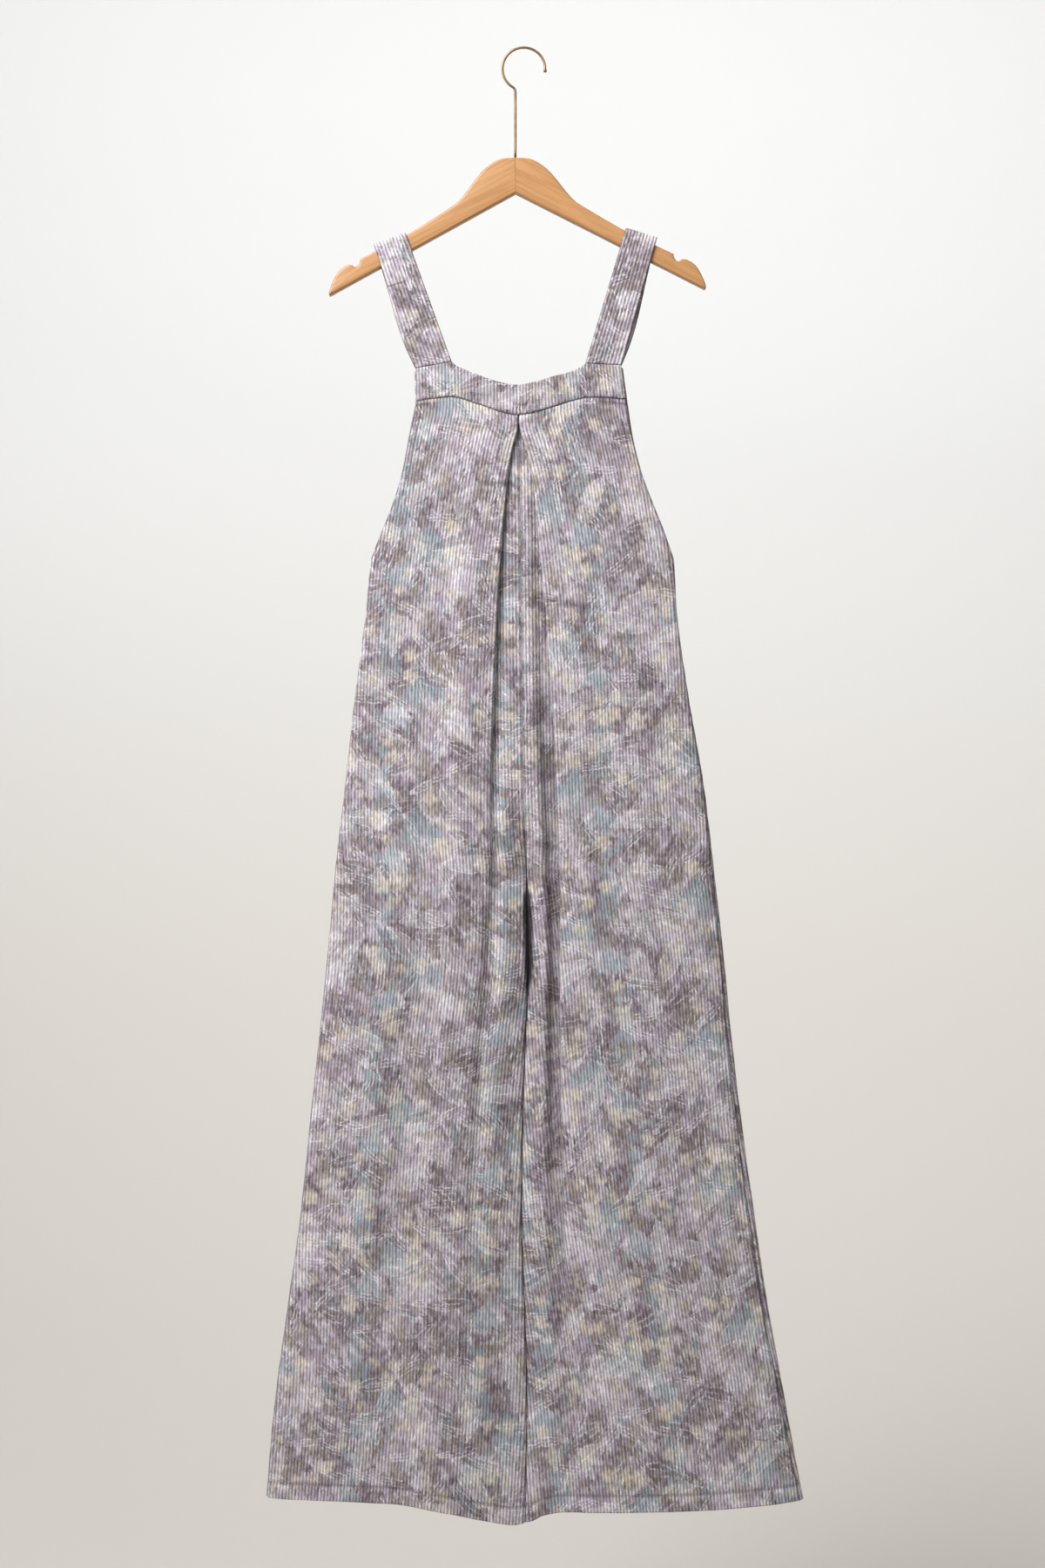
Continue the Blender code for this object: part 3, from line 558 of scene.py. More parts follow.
def surface_mesh(
    name: str, points: Array, faces: Array, uv: Array, inside: Array, shade: Array | None = None
) -> bpy.types.Mesh:
    """Puts arrays into a mesh.

    Args:
        name: The mesh's name.
        points: Vertex places in millimetres.
        faces: Four vertex numbers a face; a triangle repeats its last one.
        uv: A place on the cloth in millimetres for each vertex.
        inside: For each face, whether it takes the second material.
        shade: How much painted shade each vertex takes, from 0 to 1: along seams, edges and stitching, and in
            the cleft and the pleat.

    Returns:
        The mesh, smooth, with its cloth places in the UV map named cloth, in metres.
    """
    triangle = faces[:, 2] == faces[:, 3]
    counts = np.where(triangle, 3, 4)
    starts = np.concatenate([[0], np.cumsum(counts)[:-1]])
    keep = np.ones(faces.shape, bool)
    keep[triangle, 3] = False
    corners = faces[keep]
    mesh = bpy.data.meshes.new(name)
    mesh.vertices.add(len(points))
    mesh.vertices.foreach_set("co", (points * MM).astype(np.float32).ravel())
    mesh.loops.add(len(corners))
    mesh.loops.foreach_set("vertex_index", corners.astype(np.int32))
    mesh.polygons.add(len(faces))
    mesh.polygons.foreach_set("loop_start", starts.astype(np.int32))
    mesh.polygons.foreach_set("material_index", inside.astype(np.int32))
    mesh.update(calc_edges=True)
    layer = mesh.uv_layers.new(name="cloth")
    layer.data.foreach_set("uv", (uv[corners] * MM).astype(np.float32).ravel())
    # The painted shade goes into the point attribute named seam, which the cloth's material reads.
    if shade is not None:
        mesh.attributes.new("seam", "FLOAT", "POINT").data.foreach_set("value", shade.astype(np.float32))
    mesh.validate()
    mesh.shade_smooth()
    return mesh


def tidy_faces(faces: Array) -> Array:
    """Drops faces that have shrunk to a line and turns a quad with two equal corners into a triangle.

    Args:
        faces: Four vertex numbers a face.

    Returns:
        The faces that are left, where a triangle's last two numbers are equal.
    """
    a, b, c, d = faces.T
    line = ((a == b) & (c == d)) | ((b == c) & (d == a)) | (a == c) | (b == d)
    faces = faces[~line]
    a, b, c, d = faces.T
    faces = np.where((a == b)[:, None], np.column_stack([b, c, d, d]), faces)
    faces = np.where((b == c)[:, None] & (a != b)[:, None], np.column_stack([a, c, d, d]), faces)
    a, b, c, d = faces.T
    return np.where(((d == a) & (c != d))[:, None], np.column_stack([a, b, c, c]), faces)


def ring_faces(points: Array) -> tuple[list[list[int]], Array]:
    """Joins each ring of points to the next one, and returns the faces and the vertex numbers by ring."""
    number = np.arange(points.shape[0] * points.shape[1]).reshape(points.shape[:2])
    near, far = number[:-1], number[1:]
    faces = np.stack([near, np.roll(near, -1, axis=1), np.roll(far, -1, axis=1), far], axis=-1)
    return faces.reshape(-1, 4).tolist(), number


def face_outwards(mesh: bpy.types.Mesh, split_caps: bool = False) -> None:
    """Turns a closed mesh's faces outward; caps of over four corners may be split into triangles."""
    shell = bmesh.new()
    shell.from_mesh(mesh)
    bmesh.ops.recalc_face_normals(shell, faces=shell.faces)
    if split_caps:
        bmesh.ops.triangulate(shell, faces=[face for face in shell.faces if len(face.verts) > 4])
    shell.to_mesh(mesh)
    shell.free()


def tube_mesh(name: str, points: Array, split_caps: bool = False) -> bpy.types.Mesh:
    """Makes a smooth closed mesh of rings in millimetres, with a cap on the first and the last."""
    faces, number = ring_faces(points)
    mesh = bpy.data.meshes.new(name)
    caps = [number[0].tolist(), number[-1][::-1].tolist()]
    mesh.from_pydata((points.reshape(-1, 3) * MM).tolist(), [], faces + caps)
    face_outwards(mesh, split_caps)
    mesh.shade_smooth()
    return mesh


@dataclass
class TrimmedGrid:
    """A wall of cloth whose columns follow the ribs and whose edges cut across them.

    Every row has the columns that fall inside its own edges, and one vertex on each
    edge. Where a column runs out between two rows its faces close on the edge.
    """

    rows: list[Array] = field(default_factory=list)
    first: list[int] = field(default_factory=list)
    outer: list[Array] = field(default_factory=list)
    inner: list[Array] = field(default_factory=list)
    uv: list[Array] = field(default_factory=list)
    shade: list[Array] = field(default_factory=list)

    def add_row(self, first: int, outer: Array, inner: Array, uv: Array, shade: Array) -> None:
        """Adds a row.

        Args:
            first: The number of the column at which the row's first edge vertex stands in.
            outer: The outer points, edge vertices included.
            inner: The inner points.
            uv: The places on the cloth.
            shade: How much painted shade each point takes, from 0 to 1.
        """
        self.shade.append(shade)
        self.first.append(first)
        self.outer.append(outer)
        self.inner.append(inner)
        self.uv.append(uv)

    def mesh(self, name: str, flip: bool) -> bpy.types.Mesh:
        """Joins the rows into a closed wall.

        Args:
            name: The mesh's name.
            flip: Whether the columns run so that the faces have to be turned round.

        Returns:
            The mesh.
        """
        counts = np.array([len(row) for row in self.outer])
        base = np.concatenate([[0], np.cumsum(counts)[:-1]])
        lowest = min(self.first)
        highest = max(first + count for first, count in zip(self.first, counts))
        columns = np.arange(lowest, highest)
        first = np.array(self.first)[:, None]
        ids = base[:, None] + np.clip(columns[None, :] - first, 0, counts[:, None] - 1)
        total = int(counts.sum())
        corners = [ids[:-1, :-1], ids[:-1, 1:], ids[1:, 1:], ids[1:, :-1]]
        outer_faces = np.stack(corners, axis=-1).reshape(-1, 4)
        inner_faces = outer_faces[:, ::-1] + total
        loops = (ids[0], ids[:, -1], ids[-1, ::-1], ids[::-1, 0])
        rims = [np.stack([a[1:], a[:-1], a[:-1] + total, a[1:] + total], axis=-1) for a in loops]
        outside = np.concatenate([outer_faces, *rims])
        if flip:
            outside, inner_faces = outside[:, ::-1], inner_faces[:, ::-1]
        outside, inner_faces = tidy_faces(outside), tidy_faces(inner_faces)
        faces = np.concatenate([outside, inner_faces])
        points = np.concatenate([*self.outer, *self.inner])
        uv = np.concatenate([*self.uv, *self.uv])
        shade = np.concatenate([*self.shade, *self.shade])
        inside = np.concatenate([np.zeros(len(outside)), np.ones(len(inner_faces))])
        return surface_mesh(name, points, faces, uv, inside, np.clip(shade, 0, 1))


class Piece:
    """Makes objects of finished meshes and gives them their body."""

    @staticmethod
    def place(
        mesh: bpy.types.Mesh,
        materials: list[bpy.types.Material],
        slot: str,
        replaces: tuple[str, ...] = (),
    ) -> bpy.types.Object:
        """Makes an object that rides with the model.

        Args:
            mesh: The finished mesh.
            materials: Its materials, in the order of its material numbers.
            slot: Not used.
            replaces: The nodes that it stands for.

        Returns:
            The object.
        """
        made = bpy.data.objects.new(mesh.name, mesh)
        for each in materials:
            mesh.materials.append(each)
        bpy.context.scene.collection.objects.link(made)
        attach(made, "root")
        if replaces:
            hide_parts(*replaces)
        LOG.info("%s: %d faces", made.name, len(mesh.polygons))
        return made


def srgb(red: int, green: int, blue: int) -> tuple[float, float, float, float]:
    """Turns a colour as seen on a screen, 0 to 255, into the linear colour that a shader reads."""
    parts = np.array([red, green, blue]) / 255
    linear = np.where(parts <= 0.04045, parts / 12.92, ((parts + 0.055) / 1.055) ** 2.4)
    return (*linear.tolist(), 1.0)


class Nodes:
    """A material's node tree, built up with short calls that each return a socket."""

    def __init__(self, name: str) -> None:
        """Starts the material of that name."""
        self.material = bpy.data.materials.new(name)
        self.material.use_nodes = True
        self.tree = self.material.node_tree
        self.shader = self.tree.nodes["Principled BSDF"]

    def feed(self, socket: Socket, source: object) -> None:
        """Links a socket to another one, or sets its value."""
        if isinstance(source, Socket):
            self.tree.links.new(source, socket)
        else:
            socket.default_value = source

    def node(self, kind: str, sources: dict, output: int | str = 0, **options: object) -> Socket:
        """Adds a node.

        Args:
            kind: Its type, without the common start of the name.
            sources: What feeds each input, by its number or name.
            output: The number or name of the result to return.
            options: The node's own settings.

        Returns:
            The result.
        """
        node = self.tree.nodes.new(f"ShaderNode{kind}")
        for name, value in options.items():
            setattr(node, name, value)
        for name, source in sources.items():
            self.feed(node.inputs[name], source)
        return node.outputs[output]

    def math(self, operation: str, *sources: object) -> Socket:
        """Adds a Math node."""
        return self.node("Math", dict(enumerate(sources)), operation=operation)

    def plus(self, *sources: object) -> Socket:
        """Adds up the sources, from the first on."""
        return reduce(partial(self.math, "ADD"), sources)

    def minus(self, first: object, second: object) -> Socket:
        """Takes the second source from the first."""
        return self.math("SUBTRACT", first, second)

    def times(self, *sources: object) -> Socket:
        """Multiplies the sources, from the first on."""
        return reduce(partial(self.math, "MULTIPLY"), sources)

    def mix(self, share: object, first: object, second: object, blend: str = "MIX") -> Socket:
        """Mixes two colours."""
        return self.node("Mix", {0: share, 6: first, 7: second}, 2, data_type="RGBA", blend_type=blend)

    def step(self, source: object, low: float, high: float) -> Socket:
        """Rises smoothly from 0 at low to 1 at high; falls where low is the larger."""
        falls = float(low > high)
        sources = {"Value": source, "From Min": min(low, high), "From Max": max(low, high)}
        sources |= {"To Min": falls, "To Max": 1 - falls}
        return self.node("MapRange", sources, "Result", interpolation_type="SMOOTHSTEP")

    def point(self, x: object, y: object, z: object = 0.0) -> Socket:
        """Joins three numbers into a vector."""
        return self.node("CombineXYZ", {0: x, 1: y, 2: z})

    def parts(self, vector: Socket) -> tuple[Socket, ...]:
        """Splits a vector into x, y and z."""
        return tuple(self.node("SeparateXYZ", {0: vector}).node.outputs)

    def shift(self, vector: Socket, by: tuple[float, float, float]) -> Socket:
        """Moves a vector."""
        return self.node("VectorMath", {0: vector, 1: by})

    def noise(
        self, vector: Socket, scale: float, detail: float = 2.0, rough: float = 0.5, fourth: object = None
    ) -> Socket:
        """Adds a noise texture, in four dimensions where a fourth coordinate is given."""
        sources = {"Vector": vector, "Scale": scale, "Detail": detail, "Roughness": rough}
        if fourth is None:
            return self.node("TexNoise", sources, "Fac", noise_dimensions="3D")
        return self.node("TexNoise", {**sources, "W": fourth}, "Fac", noise_dimensions="4D")

    def cells(self, vector: Socket, scale: float, loose: float = 1.0) -> tuple[Socket, ...]:
        """Scatters points, and returns each place's x and y from its own point and three random numbers."""
        sources = {"Vector": vector, "Scale": scale, "Randomness": loose}
        centre = self.node("TexVoronoi", sources, "Position", voronoi_dimensions="2D")
        x, y, _ = self.parts(self.node("VectorMath", {0: vector, 1: centre}, operation="SUBTRACT"))
        return (x, y, *self.parts(centre.node.outputs["Color"]))

    def place(self, kind: str) -> Socket:
        """Gives places on the object, or on the cloth by its UV map."""
        if kind == "UV":
            return self.node("UVMap", {}, uv_map="cloth")
        return self.node("TexCoord", {}, kind)

    def bump(self, height: Socket, distance: float) -> None:
        """Puts a relief of that depth in metres into the shader's normal."""
        relief = self.node("Bump", {"Strength": 1.0, "Distance": distance, "Height": height})
        self.tree.links.new(relief, self.shader.inputs["Normal"])

    def finish(self, colour: object, roughness: float, **sockets: float) -> bpy.types.Material:
        """Feeds the shader.

        Args:
            colour: A colour or a socket that gives one.
            roughness: The surface's roughness.
            sockets: Values of the shader's other sockets, each named with _ for a space.

        Returns:
            The finished material.
        """
        self.feed(self.shader.inputs["Base Color"], colour)
        for name, value in {"roughness": roughness, **sockets}.items():
            title = name.replace("_", " ").title().replace("Ior", "IOR")
            self.shader.inputs[title].default_value = value
        return self.material


@dataclass(frozen=True)
class PrintedKnit:
    """The printed rib knit: a watercolour print of flowers and leaves over clouded patches.

    The patches repeat over the cloth like a printed repeat. Their noise is read on a
    torus: each direction of the repeat is turned once round a circle.
    """

    repeat_across: float = 0.137
    repeat_down: float = 0.162
    repeat_step: float = 0.038
    comb: float = 0.026
    leaf_comb: float = 0.006
    smear: float = 0.004
    streak: float = 1.35
    groove: float = 0.55
    # How dark the grooves between the ribs are: partly the print, which lies thinner there, and partly
    # painted shade in the grooves.
    darkest: float = 0.12
    leaf_slant: float = 0.9
    leaf_curl: float = 14.0
    stitch_height: float = 0.0021
    relief: float = 0.00022
    lavender: tuple = srgb(196, 187, 198)
    mauve: tuple = srgb(160, 146, 162)
    pale: tuple = srgb(216, 213, 218)
    plum: tuple = srgb(104, 92, 96)
    taupe: tuple = srgb(148, 138, 126)
    teal: tuple = srgb(142, 158, 166)
    cream: tuple = srgb(222, 211, 194)
    ochre: tuple = srgb(178, 162, 136)
    chalk: tuple = srgb(230, 227, 234)
    wrong_side: tuple = srgb(150, 141, 148)
    # The colour of the painted shade that the seam attribute mixes in.
    depth: tuple = srgb(66, 52, 64)

    def torus(self, n: Nodes, u: Socket, v: Socket) -> tuple[Socket, Socket]:
        """Turns a place on the cloth, in metres, into a place on a torus in four dimensions.

        Args:
            n: The material's nodes.
            u: Metres across the ribs.
            v: Metres along them.

        Returns:
            The first three coordinates as a vector, and the fourth.
        """
        p = n.math("DIVIDE", u, self.repeat_across)
        stepped = n.times(p, self.repeat_step / self.repeat_down)
        q = n.minus(n.math("DIVIDE", v, self.repeat_down), stepped)
        circles = []
        for turns, length in ((p, self.repeat_across), (q, self.repeat_down)):
            angle = n.times(turns, TURN)
            circles += [n.times(n.math(each, angle), length / TURN) for each in ("COSINE", "SINE")]
        return n.point(*circles[:3]), circles[3]

    def leaf(
        self, n: Nodes, uv: Socket, scale: float, half_length: float, half_width: float, spread: float
    ) -> tuple[Socket, Socket]:
        """Scatters pointed leaves, each turned its own way about a slant.

        A leaf is where the distance across it is less than its half width times 1
        minus the square of the place along it.

        Args:
            n: The material's nodes.
            uv: Places on the cloth.
            scale: Leaves to the metre.
            half_length: Half a leaf's length in metres.
            half_width: Half its width.
            spread: How far its slant may vary, in radians.

        Returns:
            1 inside a leaf, and 1 on its outline and its midrib.
        """
        x, y, turn, chance, bend = n.cells(uv, scale)
        angle = n.plus(n.times(n.minus(turn, 0.5), spread), self.leaf_slant)
        cosine, sine = n.math("COSINE", angle), n.math("SINE", angle)
        lengthwise = n.plus(n.times(x, cosine), n.times(y, sine))
        straight = n.minus(n.times(y, cosine), n.times(x, sine))
        curl = n.times(n.minus(bend, 0.5), self.leaf_curl)
        across = n.math("ABSOLUTE", n.plus(straight, n.times(lengthwise, lengthwise, curl)))
        place = n.math("ABSOLUTE", n.math("DIVIDE", lengthwise, half_length))
        width = n.times(n.minus(1.0, n.math("POWER", place, 2.0)), half_width)
        inside = n.minus(width, across)
        outline = n.step(n.math("ABSOLUTE", inside), 0.0013, 0.0001)
        midrib = n.times(n.step(across, 0.0011, 0.0001), n.step(inside, -0.001, 0.001))
        grown = n.step(chance, 0.3, 0.4)
        filled = n.times(n.step(inside, -0.001, 0.0025), grown)
        return filled, n.times(n.math("MAXIMUM", outline, midrib), grown)

    def flower(self, n: Nodes, uv: Socket, scale: float, radius: float) -> tuple[Socket, Socket]:
        """Scatters flowers of five petals, each turned its own way.

        A flower is where the distance from its centre is less than its radius times
        0.85 plus 0.15 times the cosine of five times the angle.

        Args:
            n: The material's nodes.
            uv: Places on the cloth.
            scale: Flowers to the metre.
            radius: A flower's radius in metres.

        Returns:
            1 on the petals, and 1 on the centres.
        """
        x, y, turn, chance, size = n.cells(uv, scale, 0.85)
        reach = n.math("SQRT", n.plus(n.times(x, x), n.times(y, y)))
        angle = n.times(n.plus(n.math("ARCTAN2", y, x), n.times(turn, 6.28)), 5.0)
        petal = n.plus(n.times(n.math("COSINE", angle), 0.15), 0.85)
        edge = n.times(petal, radius, n.plus(n.times(size, 0.5), 0.7))
        grown = n.step(chance, 0.35, 0.5)
        petals = n.times(n.step(n.minus(edge, reach), -0.003, 0.0055), grown)
        return petals, n.times(n.step(reach, radius * 0.24, radius * 0.12), grown)

    def material(self, name: str, offset: tuple[float, float], inside: bool = False) -> bpy.types.Material:
        """Builds the cloth's material.

        Args:
            name: The material's name.
            offset: Where on the printed cloth the piece was cut, in metres.
            inside: Whether this is the wrong side, on which the print is only a faint ghost.

        Returns:
            The material.
        """
        n = Nodes(name)
        unmoved = n.place("UV")
        ribs = n.math("DIVIDE", n.parts(unmoved)[0], KNIT.rib_pitch * MM)
        uv = n.shift(unmoved, (*offset, 0.0))
        u, v, _ = n.parts(uv)

        def streaked(closeness: float, scale: float, detail: float, rough: float) -> Socket:
            """Noise drawn out along the ribs, less so where the closeness is high."""
            return n.noise(n.point(ribs, n.times(v, closeness)), scale, detail, rough)

        comb = n.minus(streaked(45.0, 1.0, 2.0, 0.6), 0.5)
        u_soft = n.plus(u, n.times(n.minus(n.noise(uv, 300.0), 0.5), self.smear))
        cloth = n.point(u_soft, n.plus(v, n.times(comb, self.leaf_comb)))
        torus, fourth = self.torus(n, u_soft, n.plus(v, n.times(comb, self.comb)))

        def patch(scale: float, shift: float, low: float, high: float, share: float = 1.0) -> Socket:
            """One kind of clouded patch of the repeat."""
            moved = n.shift(torus, (shift, -0.7 * shift, 0.4 * shift))
            return n.times(n.step(n.noise(moved, scale, 6.0, 0.68, fourth), low, high), share)

        brush = streaked(140.0, 0.8, 4.0, 0.7)
        leaves, veins = self.leaf(n, cloth, 19.0, 0.036, 0.010, 2.4)
        shadows, ribs_of_leaf = self.leaf(n, n.shift(cloth, (3.3, 1.7, 0.0)), 24.0, 0.027, 0.007, 3.0)
        _, twigs = self.leaf(n, n.shift(cloth, (7.1, 4.3, 0.0)), 29.0, 0.034, 0.004, 3.0)
        petals, centres = self.flower(n, cloth, 42.0, 0.0115)
        bunch = n.times(patch(30.0, 21.5, 0.43, 0.56), n.step(brush, 0.2, 0.55))
        broken = n.step(n.noise(cloth, 110.0, 3.0, 0.7), 0.38, 0.6)
        drawn = n.math("MAXIMUM", n.math("MAXIMUM", veins, n.times(ribs_of_leaf, 0.8)), twigs)
        colour = self.lavender
        for share, dye in (
            (patch(38.0, 0.0, 0.42, 0.57, 0.9), self.mauve),
            (patch(52.0, 12.9, 0.5, 0.61, 0.8), self.pale),
            (n.times(patch(31.0, 5.7, 0.455, 0.55, 0.9), n.step(brush, 0.25, 0.62)), self.plum),
            (patch(48.0, 3.1, 0.49, 0.6, 0.6), self.taupe),
            (patch(32.0, 9.2, 0.525, 0.59, 0.66), self.teal),
            (n.times(leaves, brush, 0.6), self.pale),
            (n.times(shadows, brush, 0.6), self.plum),
            (n.times(petals, bunch, 0.62), self.cream),
            (n.times(centres, bunch, 0.35), self.ochre),
            (n.times(drawn, broken, 0.68), self.chalk),
        ):
            colour = n.mix(share, colour, dye)
        # The ribs' crests lighter and their grooves darker: partly the print, partly painted shade in the
        # grooves; the streaks along the ribs are the print's own uneven tone.
        crest = n.step(n.math("COSINE", n.times(ribs, TURN)), -0.9, 0.7)
        rib_tone_and_shade = n.plus(n.times(crest, 1 - self.groove), self.groove)
        streaks = n.minus(streaked(110.0, 1.0, 4.0, 0.7), 0.5)
        rib_tone_and_shade = n.math("MAXIMUM", n.plus(rib_tone_and_shade, n.times(streaks, self.streak)), self.darkest)
        colour = n.mix(1.0, colour, n.point(rib_tone_and_shade, rib_tone_and_shade, rib_tone_and_shade), "MULTIPLY")
        # Painted shade: the seam attribute darkens the cloth towards the depth colour along seams, edges and
        # stitching, in the cleft between the legs and in the pleat's valleys.
        seam = n.node("Attribute", {}, "Fac", attribute_name="seam")
        colour = n.mix(seam, colour, self.depth, "MULTIPLY")
        if inside:
            colour = n.mix(0.72, colour, self.wrong_side)
        loops = n.math("SINE", n.times(v, TURN / self.stitch_height))
        n.bump(n.plus(n.times(loops, 0.35), n.noise(n.place("Object"), 1500.0)), self.relief)
        return n.finish(colour, 0.92, sheen_weight=0.12, sheen_roughness=0.5, specular_ior_level=0.15)


@dataclass(frozen=True)
class Beech:
    """Lacquered beech with its grain along the arm."""

    light: tuple = srgb(177, 131, 84)
    dark: tuple = srgb(160, 114, 69)
    fleck: tuple = srgb(116, 76, 44)

    def material(self, name: str, slope: float) -> bpy.types.Material:
        """Builds the wood's material.

        Args:
            name: The material's name.
            slope: The arm's slope in radians, along which the grain runs.

        Returns:
            The material.
        """
        n = Nodes(name)
        x, y, z = n.parts(n.node("Mapping", {"Vector": n.place("Object"), "Rotation": (0.0, slope, 0.0)}))
        grain = n.point(n.times(x, 12.0), n.times(y, 200.0), n.times(z, 320.0))
        fine = n.point(n.times(x, 130.0), n.times(y, 1500.0), n.times(z, 1500.0))
        bands = n.noise(grain, 1.0, 4.0, 0.6)
        flecks = n.step(n.noise(fine, 1.0, 1.0), 0.66, 0.74)
        colour = n.mix(n.step(bands, 0.34, 0.68), self.light, self.dark)
        colour = n.mix(n.times(flecks, 0.45), colour, self.fleck)
        n.bump(n.plus(bands, n.times(flecks, -0.5)), 0.00012)
        return n.finish(colour, 0.42, coat_weight=0.25, coat_roughness=0.3, specular_ior_level=0.4)


@dataclass(frozen=True)
class BrassWire:
    """Dull drawn brass with slight tarnish."""

    bright: tuple = srgb(146, 119, 84)
    tarnish: tuple = srgb(112, 90, 66)

    def material(self) -> bpy.types.Material:
        """Builds the wire's material."""
        n = Nodes("brass_wire")
        spots = n.noise(n.place("Object"), 120.0, 4.0, 0.6)
        colour = n.mix(n.step(spots, 0.35, 0.7), self.bright, self.tarnish)
        n.bump(n.noise(n.place("Object"), 900.0), 0.00006)
        return n.finish(colour, 0.45, metallic=1.0)


@dataclass(frozen=True)
class Thread:
    """Matt sewing thread a little darker than the cloth."""

    dark: tuple = srgb(120, 106, 120)
    light: tuple = srgb(152, 138, 150)

    def material(self) -> bpy.types.Material:
        """Builds the thread's material."""
        n = Nodes("sewing_thread")
        twist = n.noise(n.place("Object"), 1800.0, 1.0)
        return n.finish(n.mix(n.step(twist, 0.3, 0.7), self.dark, self.light), 0.8, sheen_weight=0.1)


def knit_piece(
    name: str, grid: TrimmedGrid, flip: bool, offset: Points, lining: str, inside: bool = False
) -> bpy.types.Object:
    """Makes a printed piece of a finished grid.

    Args:
        name: The node that it stands for.
        grid: Its wall.
        flip: Whether the wall's faces have to be turned round.
        offset: Where on the printed cloth its outer side was cut, and its inner side.
        lining: What the inner side's material is called.
        inside: Whether the inner side is the wrong side of the print.

    Returns:
        The piece.
    """
    knit = PrintedKnit()
    materials = [
        knit.material(f"{name}_print", offset[0]),
        knit.material(f"{name}_{lining}", offset[1], inside),
    ]
    return Piece.place(grid.mesh(f"{name}_knit", flip), materials, "rib_knit", (name,))


